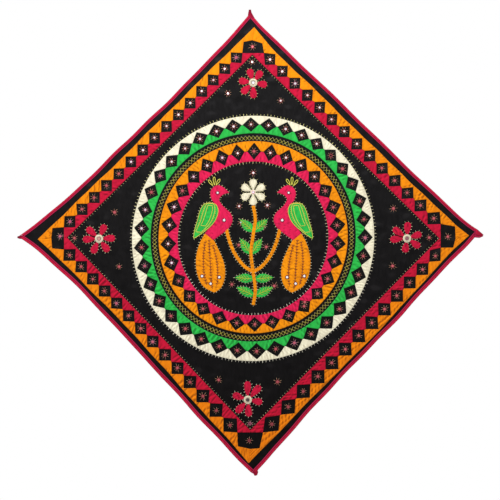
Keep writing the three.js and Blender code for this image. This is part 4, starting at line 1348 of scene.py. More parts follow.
def ground_grid():
    """The ground cloth: a grid stretched between the four folded edges (a Coons patch)."""
    even = np.linspace(0, 1, GROUND_STEPS + 1)
    share = (even + (1 - np.cos(np.pi * even)) / 2) / 2
    tuck = TAPE_THICKNESS + GAP + CORNER_TUCK
    corners = []
    for side in ALL_SIDES:
        before = ALL_SIDES[side["index"] - 1]
        corners.append(edge_point(side, 0.0, tuck) + edge_point(before, 1.0, tuck) - side["from"]["cloth"])
    top, right, bottom, left = corners
    upper_right, lower_right, lower_left, upper_left = ALL_SIDES

    def rim(side, places, start, end):
        line = corner_tucked_edge(side, places)
        line[0], line[-1] = start, end
        return line

    over, under = rim(upper_right, share, top, right), rim(lower_left, 1 - share, left, bottom)
    down_left, down_right = rim(upper_left, 1 - share, top, left), rim(lower_right, share, right, bottom)
    u, v = share[None, :, None], share[:, None, None]
    level = over[None] * (1 - v) + under[None] * v
    upright = down_left[:, None] * (1 - u) + down_right[:, None] * u
    bilinear = (top * (1 - u) + right * u) * (1 - v) + (left * (1 - u) + bottom * u) * v
    return level + upright - bilinear


def inner_corner(first, second):
    """Where the inner edges of two sides' tapes meet."""
    near_a, far_a = (edge_point(first, 1 - CORNER_LOOK * k, first["tape"]) for k in (1, 2))
    near_b, far_b = (edge_point(second, CORNER_LOOK * k, second["tape"]) for k in (1, 2))
    along = unit(near_a - far_a)
    inwards = clockwise(unit(near_b - far_b))
    return near_a + along * ((near_b - near_a) @ inwards) / (along @ inwards)


def tape_stations(side):
    """Sections along one side's tape: outer and inner edge, depth, slot, slot share and tip share."""
    before, following = ALL_SIDES[side["index"] - 1], ALL_SIDES[(side["index"] + 1) % len(ALL_SIDES)]
    nib, along = side["to"]["nib"], side["along"]
    start, cover = side["from"]["nib"]["root"] / cloth_length(side), nib["cover"] / cloth_length(side)
    full, slot = GROUND_FACE + GAP + TAPE_THICKNESS, GROUND_FACE + GAP

    def station(outer, inner, depth=full, gap=slot, share=0.0, tip=0.0):
        return np.array([*outer, *inner, depth, gap, share, tip])

    butt = station(edge_point(side, start) + along * GAP, inner_corner(before, side) + along * GAP)
    places = TAPE_EASE * start + (1 - TAPE_EASE * (start + cover)) * np.linspace(0, 1, TAPE_RUN_STEPS + 1)
    run = np.column_stack([
        edge_point(side, places), edge_point(side, places, side["tape"]),
        np.tile([full, slot, 0, 0], (len(places), 1)),
    ])
    cover_outer = edge_point(side, 1 - cover)
    root = edge_point(following, nib["root"] / cloth_length(following)) - following["along"] * GAP / 2
    dark = np.multiply(nib["dark"], NIB_DARKENING)
    nibs = [
        station(outer, inner, full * NIB_THINNING ** (i + 1), GAP / 2, NIB_SLOT, dark[i])
        for i, (outer, inner) in enumerate(nib["ends"])
    ]
    turned = [
        run[-1], station(cover_outer, inner_corner(side, following)),
        station(cover_outer + along * GAP, root, share=COVER_SLOT, tip=nib["dark"] / 2), *nibs,
    ]
    return np.concatenate([
        subdivided([butt, run[0]], TAPE_END_STEPS), run[1:-1], subdivided(turned, TAPE_END_STEPS),
    ])


def tape_crimp(side, s, across):
    """Crimps across a tape: a wandering fine sine and a coarse one, which fade at its two folds."""
    phase = np.random.default_rng(SEEDS["tapes"] + side["index"]).uniform(0, 6, 3)
    wander = TAPE_CRIMP["wander"] * np.sin(s / TAPE_CRIMP["wander_length"] + phase[1])
    fine = np.sin(s / TAPE_CRIMP["fine"] + phase[0] + wander)
    coarse = TAPE_CRIMP["coarse_share"] * np.sin(s / TAPE_CRIMP["coarse"] + phase[2])
    fade = np.sin(np.pi * np.clip(across / TAPE_CRIMP["band"], 0, 1)) ** 2
    return (fine + coarse) * TAPE_CRIMP["height"] * fade


def tape_shell(side):
    """A folded tape: its section carried along the side, crimped across every few millimetres."""
    stations = tape_stations(side)
    outer, inner = stations[:, 0:2], stations[:, 2:4]
    depth, slot, share, tip = (stations[:, k][:, None] for k in (4, 5, 6, 7))
    width = np.linalg.norm(inner - outer, axis=1)[:, None]
    across, height = TAPE_SECTION.T
    slot_end = np.minimum(TAPE_THICKNESS, width * TAPE_SLOT_SHARE) + share * width
    s = along_line(outer)[:, None]
    half_place = np.concatenate([across * width, width, slot_end], 1)
    half_height = np.concatenate([height * depth + tape_crimp(side, s, across) * (1 - tip), slot, slot], 1)
    place = np.concatenate([half_place, half_place[:, ::-1]], 1)
    rise = np.concatenate([half_height, -half_height[:, ::-1]], 1)
    plan = outer[:, None] + unit(inner - outer)[:, None] * place[..., None]
    points = placed(plan, back_of(outer, 0)[:, None] - rise * MM)
    rows, sides = place.shape
    half_across = np.concatenate([across, [1, 1]])
    return {
        "points": points.reshape(-1, 3), "faces": section_faces(1, rows, sides)[:, [0, 3, 2, 1]],
        "caps": [cap[::-1] for cap in section_caps(1, rows, sides)],
        "across": np.tile(np.concatenate([half_across, half_across[::-1]]), rows),
        "tip": np.repeat(tip[:, 0], sides), "rim": np.full(rows * sides, float(FAR_FROM_RIM)),
    }, s[-1, 0]


# Stars, mirrors and stitches

def inside(points, loop):
    """Whether plan points lie inside a closed plan outline, by counting crossings."""
    ahead = np.roll(loop, -1, 0)
    x, z = points[:, 0, None], points[:, 1, None]
    crosses = (loop[:, 1] > z) != (ahead[:, 1] > z)
    level = np.where(ahead[:, 1] == loop[:, 1], 1, ahead[:, 1] - loop[:, 1])
    at = loop[:, 0] + (z - loop[:, 1]) / level * (ahead[:, 0] - loop[:, 0])
    return ((x < at) & crosses).sum(1) % 2 == 1


def paced(line, pitch, closed):
    """Points at an even pace along a line, with its heading there."""
    line = np.concatenate([line, line[:1]]) if closed else line
    length = along_line(line)
    count = max(int(round(length[-1] / pitch)), 2)
    place = (np.arange(count) + 0.5) * length[-1] / count

    def at(places):
        return np.stack([np.interp(places, length, line[:, k]) for k in (0, 1)], -1)

    return at(place), unit(at(place + HEADING_REACH) - at(place - HEADING_REACH))


def loop_turn(loop):
    """1 for a loop that runs anticlockwise, or else -1."""
    ahead = np.roll(loop, -1, 0)
    return 1 if np.sum(loop[:, 0] * ahead[:, 1] - ahead[:, 0] * loop[:, 1]) > 0 else -1


def shades(draw, colour, between, count):
    """A colour at a random brightness for each of so many threads."""
    return np.array(colour) * draw.uniform(*between, (count, 1))


def sewn_lines(loops):
    """The kind, the line, the hand of its outer side and whether it closes, of all sewn edges."""
    lines = [("strip", strip_keys(side, False)[0] - side["out"] * DOT_START, 1, False) for side in ALL_SIDES]
    turn = np.arange(360)
    for ring, key, hand in ((OUTER_RING, "outside", 1), (INNER_RING, "inside", -1)):
        lines.append(("ring", DISC_CENTRE + polar(turn, ring_radius(turn, ring[key])), hand, True))
    return lines + [("petal", loop, loop_turn(loop), True) for loop in loops]


def sewn_ticks(sewing, colours, loops):
    """The short cream stitches round the edges of the laid cloth, where no other piece covers them."""
    sizes = {
        "strip": (sewing.edge_pitch, sewing.dot_length, sewing.tick_radius),
        "ring": (sewing.ring_pitch, sewing.tick_length, sewing.tick_radius),
        "petal": (sewing.petal_pitch, sewing.petal_tick_length, sewing.petal_tick_radius),
    }
    rows = []
    for kind, line, hand, closed in sewn_lines(loops):
        pitch, *size = sizes[kind]
        points, heading = paced(line, pitch, closed)
        size = [*size, TICK_KINDS[kind]["pale"], TICK_KINDS[kind]["shade"]]
        rows.append(np.column_stack([points, clockwise(heading) * hand, np.tile(size, (len(points), 1))]))
    rows = np.concatenate(rows)
    starts, out, length = rows[:, :2], rows[:, 2:4], rows[:, 4]
    draw = np.random.default_rng(SEEDS["edge_stitches"])
    ends = starts + out * (length * draw.uniform(*TICK_LENGTHS, len(starts)))[:, None]
    ends = ends + clockwise(out) * draw.normal(0, TICK_SLANT, len(starts))[:, None]
    tried = (starts + out * TICK_CLEARANCE, ends)
    free = ~np.any([inside(points, loop) for loop in loops for points in tried], axis=0)
    starts, ends, out = starts[free], ends[free], out[free]
    radius, pale, shade = rows[free, 5:].T
    low, high = TICK_FADE
    pale = (pale * np.clip((drop_share(starts) - low) / (high - low), 0, 1))[:, None]
    colour = np.array(colours.tick) * (1 - pale) + np.array(colours.pale_tick) * pale
    colour = shades(draw, colour, TICK_SHADES, len(starts)) * shade[:, None]
    radius = radius * draw.uniform(*TICK_RADII, len(starts))
    return stitches(starts + out * TICK_START, ends, TICK_DEPTHS, radius, colour)


def square_centres():
    """The middles of all the black squares in the toothed strips and rings."""
    centres = []
    for side in ALL_SIDES:
        valleys = band_layout(side)["valleys"]
        centres.append(band_point(side, valleys, band_width(side, valleys) / 2))
    for ring in (OUTER_RING, INNER_RING):
        _, valleys, middle = ring_layout(ring)
        centres.append(DISC_CENTRE + polar(valleys, ring_radius(valleys, middle)))
    return np.concatenate(centres)


def star_centres():
    """The middles of all the mirror stars."""
    corner = np.concatenate([corner["stars"] for corner in CORNERS])
    return np.concatenate([square_centres(), corner, on_disc(FIELD_STARS)])


def nearest(points, place):
    """The index of the point that lies nearest to a place."""
    return np.linalg.norm(points - place, axis=1).argmin()


def above_bright_line(centres):
    """How far plan points lie above the line over which the mirrors look bright rather than rosy."""
    x, z = centres.T
    line = BRIGHT_LINE["height"] + BRIGHT_LINE["slope"] * np.abs(x - BRIGHT_LINE["from"])
    return z - line - BRIGHT_LINE["steep"] * np.maximum(BRIGHT_LINE["edge"] - x, 0)


def painted_mirror_reflections(draw, centres, colours):
    """The mirrors' tints: silver above the bright line, a painted rosy reflection below, and painted shade at
    the bottom.
    """
    count = len(centres)
    share = 0.5 - above_bright_line(centres) / BRIGHT_LINE["spread"]
    rosy = draw.random(count) < np.clip(share, *ROSY_SHARES)
    rosy[nearest(centres, ROSY_TOP_MIRROR)] = True
    # Painted shade: darker mirrors towards the bottom corner
    dimmed = (drop_share(centres) - MIRROR_SHADE_BELOW["from"]) / (MIRROR_SHADE_BELOW["to"] - MIRROR_SHADE_BELOW["from"])
    bright = 1 - (1 - MIRROR_SHADE_BELOW["least"]) * np.clip(dimmed, 0, 1)[:, None]
    # Painted rosy reflection below the bright line
    tint = np.where(rosy[:, None], np.array(colours.rose_reflection), np.array(colours.mirror))
    return shades(draw, tint, STAR_MIRROR["shades"], count) * bright


def star_parts(sewing, colours):
    """Mirrors, the thread rings round them and the rays of all the stars."""
    centres = star_centres()
    draw = np.random.default_rng(SEEDS["stars"])
    count, rays = len(centres), STAR_RAY["count"]
    centres = centres + draw.normal(0, STAR_STRAY, centres.shape)
    size = draw.uniform(*STAR_MIRROR["sizes"], count)
    tint = painted_mirror_reflections(draw, centres, colours)
    kept = np.arange(count) != nearest(centres, MISSING_MIRROR)
    tilt = draw.normal(0, STAR_MIRROR["tilt"], (count, 2))
    radius = sewing.mirror_radius * size
    plates = buttons(
        centres[kept], radius[kept], STAR_MIRROR["back"], STAR_MIRROR["height"], tint[kept], tilt[kept]
    )
    lilac = draw.random(count) < np.where(centres[:, 0] < 0, LILAC_SHARES["left"], LILAC_SHARES["right"])
    near = np.where(lilac[:, None], np.array(colours.lilac), np.array(colours.coral))
    ring = radius + STAR_RING["gap"]
    shade = shades(draw, near, STAR_RING["shades"], count)
    rings = hoops(centres, ring, STAR_RING["thread"], STAR_RING["depth"], shade)
    turn = np.arange(rays) * 360 / rays + draw.uniform(0, 45, (count, 1))
    headings = polar(turn + draw.normal(0, STAR_RAY["stray"], (count, rays)))
    reach = sewing.star_reach * size[:, None] * draw.uniform(*STAR_RAY["reaches"], (count, rays))
    starts = (centres[:, None] + headings * ring[:, None, None]).reshape(-1, 2)
    ends = (centres[:, None] + headings * reach[..., None]).reshape(-1, 2)
    share = np.linspace(0, 1, STITCH_POINTS)[None, :, None]
    fading = near.repeat(rays, axis=0)[:, None] * (1 - share) + np.array(colours.ray) * share
    shade = fading * draw.uniform(*STAR_RAY["shades"], (count * rays, 1, 1))
    return plates, gathered([rings, stitches(starts, ends, STAR_RAY["depths"], sewing.ray_radius, shade)])


def lattice_parts(colours):
    """The criss-cross ring: two threads that cross in every cell, with knots where they turn."""
    draw = np.random.default_rng(SEEDS["criss_cross"])
    step = 360 / LATTICE_CELLS
    turn = np.arange(LATTICE_CELLS) * step
    middle = ring_radius(turn, (LATTICE_RADIUS, LATTICE_LIFT))

    def at(angle, side):
        stray = draw.normal(0, LATTICE_STRAY, LATTICE_CELLS)
        return DISC_CENTRE + polar(angle, middle + side * LATTICE_HALF + stray)

    def threads(starts, ends, look, colour):
        return stitches(starts, ends, (look["depth"], look["depth"]), LATTICE_THREAD, colour, look["lift"])

    shade = shades(draw, colours.lattice, LATTICE_SHADES, LATTICE_CELLS)
    # The under thread gets painted shade, as a darker copy of the over thread
    parts = [
        threads(at(turn, -side), at(turn + step, side), look, shade * look["shade"])
        for side, look in ((1, LATTICE_OVER), (-1, LATTICE_UNDER))
    ]
    pale = shades(draw, colours.knot, KNOT["shades"], LATTICE_CELLS)
    reach = step * KNOT["half"]
    parts += [threads(at(turn - reach, side), at(turn + reach, side), KNOT, pale) for side in (-1, 1)]
    return gathered(parts)


def leaf_veins(leaf, mirror, colours):
    """A midrib and slanting side veins on a leaf, in satin thread."""
    base, heading, length = leaf_axis(leaf, mirror)
    across = -clockwise(heading)
    along = np.linspace(MIDRIB["from"], MIDRIB["to"], MIDRIB["points"])
    spine = on_disc(base + heading * (length * along)[:, None])
    places = np.array(LEAF_VEIN["places"])
    roots = base + heading * (length * places)[:, None]
    half = leaf_shape(places)
    parts = [running_line(spine, MIDRIB["depth"], MIDRIB["thread"], colours.vein)]
    for hand in (1, -1):
        forward = heading * (half * LEAF_VEIN["forward"])[:, None]
        tips = roots + forward + across * (half * LEAF_VEIN["sideways"] * hand)[:, None]
        look = LEAF_VEIN["depths"], LEAF_VEIN["thread"], colours.vein
        parts.append(stitches(on_disc(roots), on_disc(tips), *look))
    return gathered(parts)


def wing_loop(low, high, inset):
    """A closed loop inside the wing: from row to row, in from both of its long edges."""
    a, b = smooth_line(WING_INNER, WING_ROWS), smooth_line(WING_OUTER, WING_ROWS)
    rows = slice(int(WING_ROWS * low), int(WING_ROWS * high))
    return np.concatenate([(a + (b - a) * inset)[rows], (b + (a - b) * inset)[rows][::-1]])


def wing_embroidery(mirror, colours):
    """A thread round the wing's edge, two teardrops inside it and short stitches between them."""
    loops = {name: on_disc(wing_loop(*shares), mirror) for name, shares in WING_LOOPS.items()}
    look = WING_LOOP["depth"], WING_LOOP["thread"], colours.gold
    parts = [running_line(loop, *look, closed=True) for loop in loops.values()]
    points, heading = paced(loops["large"], WING_STITCH["pitch"], True)
    out = clockwise(heading) * loop_turn(loops["large"])
    starts, ends = (points + out * WING_STITCH[key] for key in ("from", "to"))
    parts.append(stitches(starts, ends, WING_STITCH["depths"], WING_STITCH["thread"], colours.gold))
    return gathered(parts)


def tail_embroidery(mirror, colours):
    """Three long veins down the tail with slanting stitches on both sides."""
    inner, outer = smooth_line(TAIL_INNER, TAIL_ROWS), smooth_line(TAIL_OUTER, TAIL_ROWS)
    parts = []
    for share, start, end in TAIL_VEINS:
        vein = on_disc((inner + (outer - inner) * share)[start:end], mirror)
        parts.append(running_line(vein, TAIL_VEIN["depth"], TAIL_VEIN["thread"], colours.maroon))
        points, heading = paced(vein, TAIL_STITCH["pitch"], False)
        for hand in (1, -1):
            sideways = clockwise(heading) * TAIL_STITCH["sideways"] * hand
            ends = points + sideways - heading * TAIL_STITCH["backward"]
            parts.append(stitches(points, ends, TAIL_STITCH["depths"], TAIL_STITCH["thread"], colours.maroon))
    return gathered(parts)


def crest_embroidery(mirror, colours):
    """Three yellow loops on the head: a narrow oval drawn out from its root."""
    turn = np.linspace(0, 2 * np.pi, CREST["points"] + 1)[:-1]
    parts = []
    for root, angle, reach in CRESTS:
        along = reach * (1 - np.cos(turn)) / 2
        side = CREST["half"] * np.sin(turn) * (along / reach) ** CREST["drawn_out"]
        loop = np.asarray(root) + polar(angle) * along[:, None] + polar(angle + 90) * side[:, None]
        parts.append(running_line(on_disc(loop, mirror), CREST["depth"], CREST["thread"], colours.gold, True))
    return gathered(parts)


def bird_mirror_parts(colours):
    """Mirrors on the birds, each in a dark thread ring: middle, radius and front depth."""
    plates, rings = [], []
    for _, mirror in HANDS:
        for centre, radius, depth in BIRD_MIRRORS:
            place = on_disc([centre], mirror)
            back = depth - BIRD_MIRROR["sunk"]
            plates.append(buttons(place, radius, back, BIRD_MIRROR["height"], colours.mirror))
            ring = radius + BIRD_MIRROR["ring_gap"]
            rings.append(hoops(place, ring, BIRD_MIRROR["thread"], depth, colours.maroon))
    return plates, rings


def petal_echoes(grids, colours):
    """A faint thread line a little inside the outline of each petal."""
    inset = ECHO["inset"]
    parts = []
    for grid in grids:
        middle = grid.mean(1, keepdims=True)
        half = np.linalg.norm(grid[:, -1:] - middle, axis=-1, keepdims=True)
        narrowed = middle + (grid - middle) * np.clip(1 - inset / np.maximum(half, inset), 0, 1)
        rows = narrowed[half[:, 0, 0] > ECHO["least"]]
        line = np.concatenate([rows[:, 0], rows[::-1, -1]])
        parts.append(running_line(line, ECHO["depth"], ECHO["thread"], colours.echo))
    return parts


def roundel_embroidery(centre, colours):
    """A ring of radial cream stitches round the mirror of a flower's roundel."""
    look, ring = ROUNDEL_RAYS, ROUNDEL_RING
    count = look["count"]
    turn = np.arange(count) * 360 / count
    shade = shades(np.random.default_rng(SEEDS["roundels"]), colours.cream, ROUNDEL_RAY_SHADES, count)
    starts, ends = (centre + polar(turn, look[key]) for key in ("from", "to"))
    rays = stitches(starts, ends, look["depths"], look["thread"], shade, look["lift"])
    return gathered([rays, hoops([centre], ring["radius"], ring["thread"], ring["depth"], colours.roundel)])


# User settings

def length_setting(name, text, millimetres):
    """A length property, in millimetres."""
    return bpy.props.FloatProperty(name=name, description=text, default=millimetres, min=0.05, unit="NONE")


def colour_setting(name, text, *screen):
    """A colour property from a screen colour."""
    return bpy.props.FloatVectorProperty(
        name=name, description=text, default=paint(*screen), min=0, max=1, subtype="COLOR", size=3
    )


class HangingSewing(bpy.types.PropertyGroup):
    """Sizes of the needlework, in millimetres"""
    edge_pitch: length_setting("Edge pitch", "Pitch of the short stitches along the crimson strips", 5.7)
    ring_pitch: length_setting("Ring pitch", "Pitch of the short stitches round the toothed rings", 6.3)
    petal_pitch: length_setting("Petal pitch", "Pitch of the short stitches round petals and leaves", 5.4)
    tick_length: length_setting("Ring stitch", "Length of the short stitches round the rings", 4.0)
    dot_length: length_setting("Strip stitch", "Length of the short stitches along the crimson strips", 1.9)
    petal_tick_length: length_setting("Petal stitch", "Length of the stitches round petals and leaves", 2.6)
    tick_radius: length_setting("Stitch radius", "Radius of the thread of strip and ring stitches", 0.52)
    petal_tick_radius: length_setting("Petal stitch radius", "Radius of the thread of petal stitches", 0.45)
    mirror_radius: length_setting("Mirror radius", "Radius of the small mirrors", 2.1)
    star_reach: length_setting("Star reach", "Reach of a star's rays from its middle", 7.4)
    ray_radius: length_setting("Ray radius", "Radius of the rays' thread", 0.42)
    pucker_height: length_setting("Pucker height", "Height of the puckers in the laid cloth", 0.3)


class HangingColours(bpy.types.PropertyGroup):
    """Colours of the cloth, the threads and the mirrors"""
    ground: colour_setting("Ground", "Black cotton of the panel", 30, 29, 30)
    binding: colour_setting("Binding", "Crimson tape round the panel", 196, 18, 58)
    # A painted mauve highlight on the tape's inner fold
    binding_fold_highlight: colour_setting("Binding fold", "Mauve fold along the tape's inner edge", 190, 34, 88)
    # Painted shade on the tape's outer fold, seam and rims, also the colour of its darker tips
    binding_shade_and_tips: colour_setting("Binding tip", "Dark outer fold, seam and tips of the tape", 104, 4, 32)
    orange: colour_setting("Orange", "Orange cotton", 255, 150, 2)
    crimson: colour_setting("Crimson", "Crimson cotton", 202, 16, 58)
    cream: colour_setting("Cream", "Cream cotton", 250, 240, 210)
    green: colour_setting("Green", "Green cotton", 44, 188, 75)
    pink: colour_setting("Pink", "Pink cotton", 228, 28, 83)
    tick: colour_setting("Upper edge stitches", "Yellowish edge stitches near the top", 232, 226, 150)
    pale_tick: colour_setting("Lower edge stitches", "Cream edge stitches lower down", 242, 236, 216)
    coral: colour_setting("Coral thread", "Coral thread round the mirrors", 214, 88, 98)
    lilac: colour_setting("Lilac thread", "Lilac thread round some of the mirrors", 232, 130, 176)
    ray: colour_setting("Ray thread", "Beige ends of the rays", 200, 178, 135)
    lattice: colour_setting("Lattice thread", "Olive yellow thread of the criss-cross ring", 196, 186, 74)
    knot: colour_setting("Lattice knots", "Pale knots of the criss-cross ring", 190, 180, 150)
    roundel: colour_setting("Roundel ring", "Grey-brown thread round the roundels' mirrors", 150, 125, 115)
    echo: colour_setting("Petal lines", "Fine lines on the white petals", 205, 190, 150)
    vein: colour_setting("Leaf veins", "Yellow green thread of the veins", 196, 206, 60)
    gold: colour_setting("Gold thread", "Yellow thread of wings and crests", 226, 220, 90)
    maroon: colour_setting("Maroon thread", "Dark thread on tails and round their mirrors", 110, 18, 34)
    mirror: colour_setting("Silver mirror", "Bright mirrors", 250, 248, 250)
    # Rosy, beige, dim and dark mirrors are tints painted for the reflections that those mirrors show
    rose_reflection: colour_setting("Rosy mirror", "Mirrors that look coral", 208, 104, 112)
    beige_reflection: colour_setting("Beige mirror", "Mirror of the left roundel", 212, 162, 150)
    dim_reflection: colour_setting("Dim mirror", "Mirror of the right roundel", 150, 105, 112)
    dark_reflection: colour_setting("Dark mirror", "Mirror of the bottom roundel", 80, 74, 74)


# Operators

class HANGING_OT_stage(bpy.types.Operator):
    """Set up the camera, the soft light, the pale world and the pale floor"""
    bl_idname = "hanging.stage"
    bl_label = "Camera, light and floor"

    def execute(self, context):
        make_camera(context.scene)
        make_world(context.scene)
        make_light(context.scene)
        make_floor(context.scene)
        return {"FINISHED"}


def make_camera(scene):
    """A long lens straight in front of the hanging, framing a fixed width at the hanging."""
    data = bpy.data.cameras.new("front_camera")
    data.sensor_width = SENSOR
    data.lens = SENSOR * VIEW_DISTANCE / VIEW_WIDTH
    camera = bpy.data.objects.new("front_camera", data)
    camera.location = (VIEW_CENTRE[0], -VIEW_DISTANCE, VIEW_CENTRE[1])
    camera.rotation_euler = (math.pi / 2, 0, 0)
    scene.collection.objects.link(camera)
    scene.camera = camera
    scene.view_settings.view_transform = "Standard"


def make_world(scene):
    """A white world that is bright to look at and in reflections, and softer as a light."""
    world = bpy.data.worlds.new("pale_studio")
    world.use_nodes = True
    tree = world.node_tree
    path = tree.nodes.new("ShaderNodeLightPath").outputs
    seen = arithmetic(tree, "MAXIMUM", path["Is Camera Ray"], path["Is Glossy Ray"])
    strength = mapped(tree, seen, (0.0, 1.0), (WORLD_LIGHT, 1.0))
    tree.links.new(strength, tree.nodes["Background"].inputs["Strength"])
    tree.nodes["Background"].inputs["Color"].default_value = (1, 1, 1, 1)
    scene.world = world


def make_light(scene):
    """One soft lamp above and in front of the top corner."""
    data = bpy.data.lights.new("soft_top_light", "AREA")
    data.shape = "DISK"
    data.size = LAMP["size"]
    data.energy = LAMP["energy"]
    lamp = bpy.data.objects.new("soft_top_light", data)
    lamp.location = LAMP["place"]
    lamp.rotation_euler = (math.radians(LAMP["tilt"]), 0, math.radians(LAMP["turn"]))
    scene.collection.objects.link(lamp)


def make_floor(scene):
    """A wide pale floor far below the hanging."""
    half = FLOOR_SIZE / 2
    corners = [(x * half, y * half, FLOOR_DROP) for x, y in ((-1, -1), (1, -1), (1, 1), (-1, 1))]
    mesh = bpy.data.meshes.new("pale_floor")
    mesh.from_pydata(corners, [], [(0, 1, 2, 3)])
    material, tree, shader, place = new_material("pale_floor")
    tree.links.new(blended(tree, noise(tree, place, FLOOR_GRAIN), *FLOOR_TONES), shader.inputs["Base Color"])
    shader.inputs["Roughness"].default_value = FLOOR_ROUGHNESS
    mesh.materials.append(material)
    floor = bpy.data.objects.new("pale_floor", mesh)
    scene.collection.objects.link(floor)


def lay_cloth(scene, node, made, shade):
    """Makes one cut piece in its node's place."""
    piece = make_piece("cut_" + node, made, finish_of(scene, shade), [node])


def sew(scene, name, made):
    """Makes a piece of needlework."""
    make_piece(name, made, finish_of(scene, "thread"))


def set_mirrors(scene, name, plates):
    """Makes a piece of small mirrors."""
    make_piece(name, gathered(plates), finish_of(scene, "mirror"), smooth=False)


class HANGING_OT_ground(bpy.types.Operator):
    """Make the black ground cloth with its soft creases"""
    bl_idname = "hanging.ground"
    bl_label = "Ground cloth"

    def execute(self, context):
        grid = ground_grid()
        waves = ripples(local_grid(grid), SEEDS["ground"], **GROUND_RIPPLES)
        made = laid_patch(grid, -GROUND_FACE, GROUND_FACE, GROUND_RIPPLE_HEIGHT * waves)
        # Painted light on the ridges and painted shade in the troughs of the ripples and creases, and painted
        # shade towards the bottom corner
        made["crease"] = twice(waves * GROUND_SHADING["ripples"] - creased(grid) * GROUND_SHADING["creases"])
        made["dye"] = twice(drop_share(grid))
        made["rim"] = made["rim"] + FAR_FROM_RIM
        material = finish_of(context.scene, "ground")
        piece = make_piece("ground_cloth", made, material, ["ground_panel"])
        return {"FINISHED"}


class HANGING_OT_binding(bpy.types.Operator):
    """Make the folded crimson tape round the four edges"""
    bl_idname = "hanging.binding"
    bl_label = "Binding"

    def execute(self, context):
        material = finish_of(context.scene, "binding")
        for side in ALL_SIDES:
            made, length = tape_shell(side)
            piece = make_piece("tape_" + side["name"], made, material, ["binding_" + side["name"]])
        return {"FINISHED"}


class HANGING_OT_toothed_strips(bpy.types.Operator):
    """Make the orange and crimson toothed strips of the four sides"""
    bl_idname = "hanging.toothed_strips"
    bl_label = "Toothed strips"

    def execute(self, context):
        height = context.scene.hanging_sewing.pucker_height
        for side in ALL_SIDES:
            for shade, outer in (("orange", True), ("crimson", False)):
                made, length = strip_patch(side, outer, height)
                lay_cloth(context.scene, shade + "_strip_" + side["name"], made, shade)
        return {"FINISHED"}


class HANGING_OT_toothed_rings(bpy.types.Operator):
    """Make the four toothed rings round the centre"""
    bl_idname = "hanging.toothed_rings"
    bl_label = "Toothed rings"

    def execute(self, context):
        height = context.scene.hanging_sewing.pucker_height
        for i, (shade, ring, facing) in enumerate(RINGS):
            grid = ring_grid(ring, facing)
            made = puckered_patch(grid, SEEDS["rings"] + i, height, heading=0, closed=True, **CLOTH_PUCKERS)
            lay_cloth(context.scene, shade + "_ring", made, shade)
        return {"FINISHED"}


def flower_patches(centre, petals, style, seed):
    """A flower's petals and its hub as thin shells, a little crowned."""
    crown = PETAL_CROWN * (1 - (2 * ACROSS - 1) ** 2)[None, :]
    grids = petal_grids(centre, petals, style)
    parts = [puckered_patch(grid, seed + i, crown=crown, **PETAL_PUCKERS) for i, grid in enumerate(grids)]
    hub = disc_grid(centre, style["hub"] + HUB_OVERLAP)
    parts.append(puckered_patch(hub, seed, 0, heading=0, front=PATCH_FRONT - HUB_DROP, **CLOTH_PUCKERS))
    return gathered(parts)


class HANGING_OT_corner_flowers(bpy.types.Operator):
    """Make the crimson flowers and their cream roundels in the four corners"""
    bl_idname = "hanging.corner_flowers"
    bl_label = "Corner flowers"

    def execute(self, context):
        scene, colours = context.scene, context.scene.hanging_colours
        plates = []
        for i, corner in enumerate(CORNERS):
            name, centre, petals = corner["name"], np.asarray(corner["flower"], float), corner["petals"]
            made = flower_patches(centre, petals, CORNER_PETAL, SEEDS["flowers"] + 10 * i)
            lay_cloth(scene, "flower_" + name, made, "crimson")
            made = laid_patch(disc_grid(centre, ROUNDEL_RADIUS), TOP_PATCH_BACK, TOP_PATCH_FRONT)
            lay_cloth(scene, "roundel_" + name, made, "cream")
            sew(scene, "roundel_stitches_" + name, roundel_embroidery(centre, colours))
            # The roundel mirror's tint is silver at the top and a painted reflection elsewhere
            plates.append(buttons([centre], **ROUNDEL_MIRROR, tint=getattr(colours, corner["roundel_tint"])))
        set_mirrors(scene, "roundel_mirrors", plates)
        return {"FINISHED"}


class HANGING_OT_centre(bpy.types.Operator):
    """Make the birds, branches, leaves and the white flower of the centre"""
    bl_idname = "hanging.centre"
    bl_label = "Centre panel"

    def execute(self, context):
        scene, colours = context.scene, context.scene.hanging_colours
        for i, (node, (grid, shade, front)) in enumerate(centre_grids().items()):
            made = puckered_patch(grid, SEEDS["centre"] + i, front=front, **CENTRE_PUCKERS)
            lay_cloth(scene, node, made, shade)
        centre = on_disc(WHITE_FLOWER_CENTRE)
        made = flower_patches(centre, WHITE_PETALS, WHITE_PETAL, SEEDS["white_flower"])
        lay_cloth(scene, "white_flower", made, "cream")
        echoes = petal_echoes(petal_grids(centre, WHITE_PETALS, WHITE_PETAL), colours)
        ring = hoops([centre], WHITE_RING["radius"], WHITE_RING["thread"], WHITE_RING["depth"], colours.lilac)
        sew(scene, "white_flower_stitches", gathered([*echoes, ring]))
        set_mirrors(scene, "white_flower_mirror", [buttons([centre], **WHITE_MIRROR, tint=colours.mirror)])
        return {"FINISHED"}


class HANGING_OT_stars(bpy.types.Operator):
    """Sew the small mirrors with their thread rings and rays"""
    bl_idname = "hanging.stars"
    bl_label = "Mirror stars"

    def execute(self, context):
        plates, threads = star_parts(context.scene.hanging_sewing, context.scene.hanging_colours)
        set_mirrors(context.scene, "star_mirrors", [plates])
        sew(context.scene, "star_threads", threads)
        return {"FINISHED"}


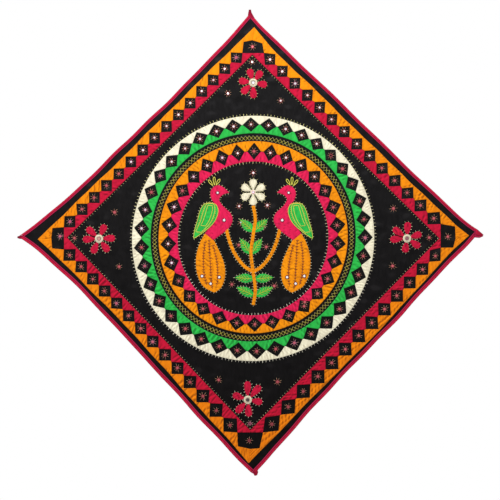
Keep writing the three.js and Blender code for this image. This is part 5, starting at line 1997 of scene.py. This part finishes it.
class HANGING_OT_edge_stitches(bpy.types.Operator):
    """Sew the short cream stitches round the laid cloth"""
    bl_idname = "hanging.edge_stitches"
    bl_label = "Edge stitches"

    def execute(self, context):
        grids = [grid for grid, _, _ in centre_grids().values()]
        grids += petal_grids(on_disc(WHITE_FLOWER_CENTRE), WHITE_PETALS, WHITE_PETAL)
        for corner in CORNERS:
            grids += petal_grids(corner["flower"], corner["petals"], CORNER_PETAL)
        loops = [outline(grid) for grid in grids]
        made = sewn_ticks(context.scene.hanging_sewing, context.scene.hanging_colours, loops)
        sew(context.scene, "edge_stitches", made)
        return {"FINISHED"}


class HANGING_OT_embroidery(bpy.types.Operator):
    """Sew the criss-cross ring and the needlework of the centre"""
    bl_idname = "hanging.embroidery"
    bl_label = "Embroidery"

    def execute(self, context):
        scene, colours = context.scene, context.scene.hanging_colours
        sew(scene, "criss_cross_ring", lattice_parts(colours))
        leaves = [leaf_veins(leaf, mirror, colours) for _, mirror in HANDS for leaf in LEAVES]
        sew(scene, "leaf_veins", gathered(leaves))
        for name, embroider, slot in (
            ("wing_stitches", wing_embroidery, "green"),
            ("tail_stitches", tail_embroidery, "orange"),
            ("crests", crest_embroidery, "orange"),
        ):
            sew(scene, name, gathered([embroider(mirror, colours) for _, mirror in HANDS]))
        plates, rings = bird_mirror_parts(colours)
        set_mirrors(scene, "bird_mirrors", plates)
        sew(scene, "bird_mirror_rings", gathered(rings))
        return {"FINISHED"}


OPERATORS = (
    HANGING_OT_stage,
    HANGING_OT_ground,
    HANGING_OT_binding,
    HANGING_OT_toothed_strips,
    HANGING_OT_toothed_rings,
    HANGING_OT_corner_flowers,
    HANGING_OT_centre,
    HANGING_OT_stars,
    HANGING_OT_edge_stitches,
    HANGING_OT_embroidery,
)


class HANGING_PT_panel(bpy.types.Panel):
    """Settings and steps of the wall hanging"""
    bl_idname = "HANGING_PT_panel"
    bl_label = "Wall hanging"
    bl_space_type = "VIEW_3D"
    bl_region_type = "UI"
    bl_category = "Hanging"

    def draw(self, context):
        for settings in (context.scene.hanging_sewing, context.scene.hanging_colours):
            box = self.layout.box()
            for key in settings.__annotations__:
                box.prop(settings, key)
        for operator in OPERATORS:
            self.layout.operator(operator.bl_idname)


CLASSES = (HangingSewing, HangingColours, *OPERATORS, HANGING_PT_panel)


def register():
    """Registers the classes and adds the settings to the scene."""
    for cls in CLASSES:
        bpy.utils.register_class(cls)
    bpy.types.Scene.hanging_sewing = bpy.props.PointerProperty(type=HangingSewing)
    bpy.types.Scene.hanging_colours = bpy.props.PointerProperty(type=HangingColours)


def unregister():
    """Removes the settings and the classes."""
    del bpy.types.Scene.hanging_colours
    del bpy.types.Scene.hanging_sewing
    for cls in reversed(CLASSES):
        bpy.utils.unregister_class(cls)


def main():
    """Makes every piece."""
    register()
    for operator in OPERATORS:
        family, step = operator.bl_idname.split(".")
        getattr(getattr(bpy.ops, family), step)()


if __name__ == "__main__":
    main()
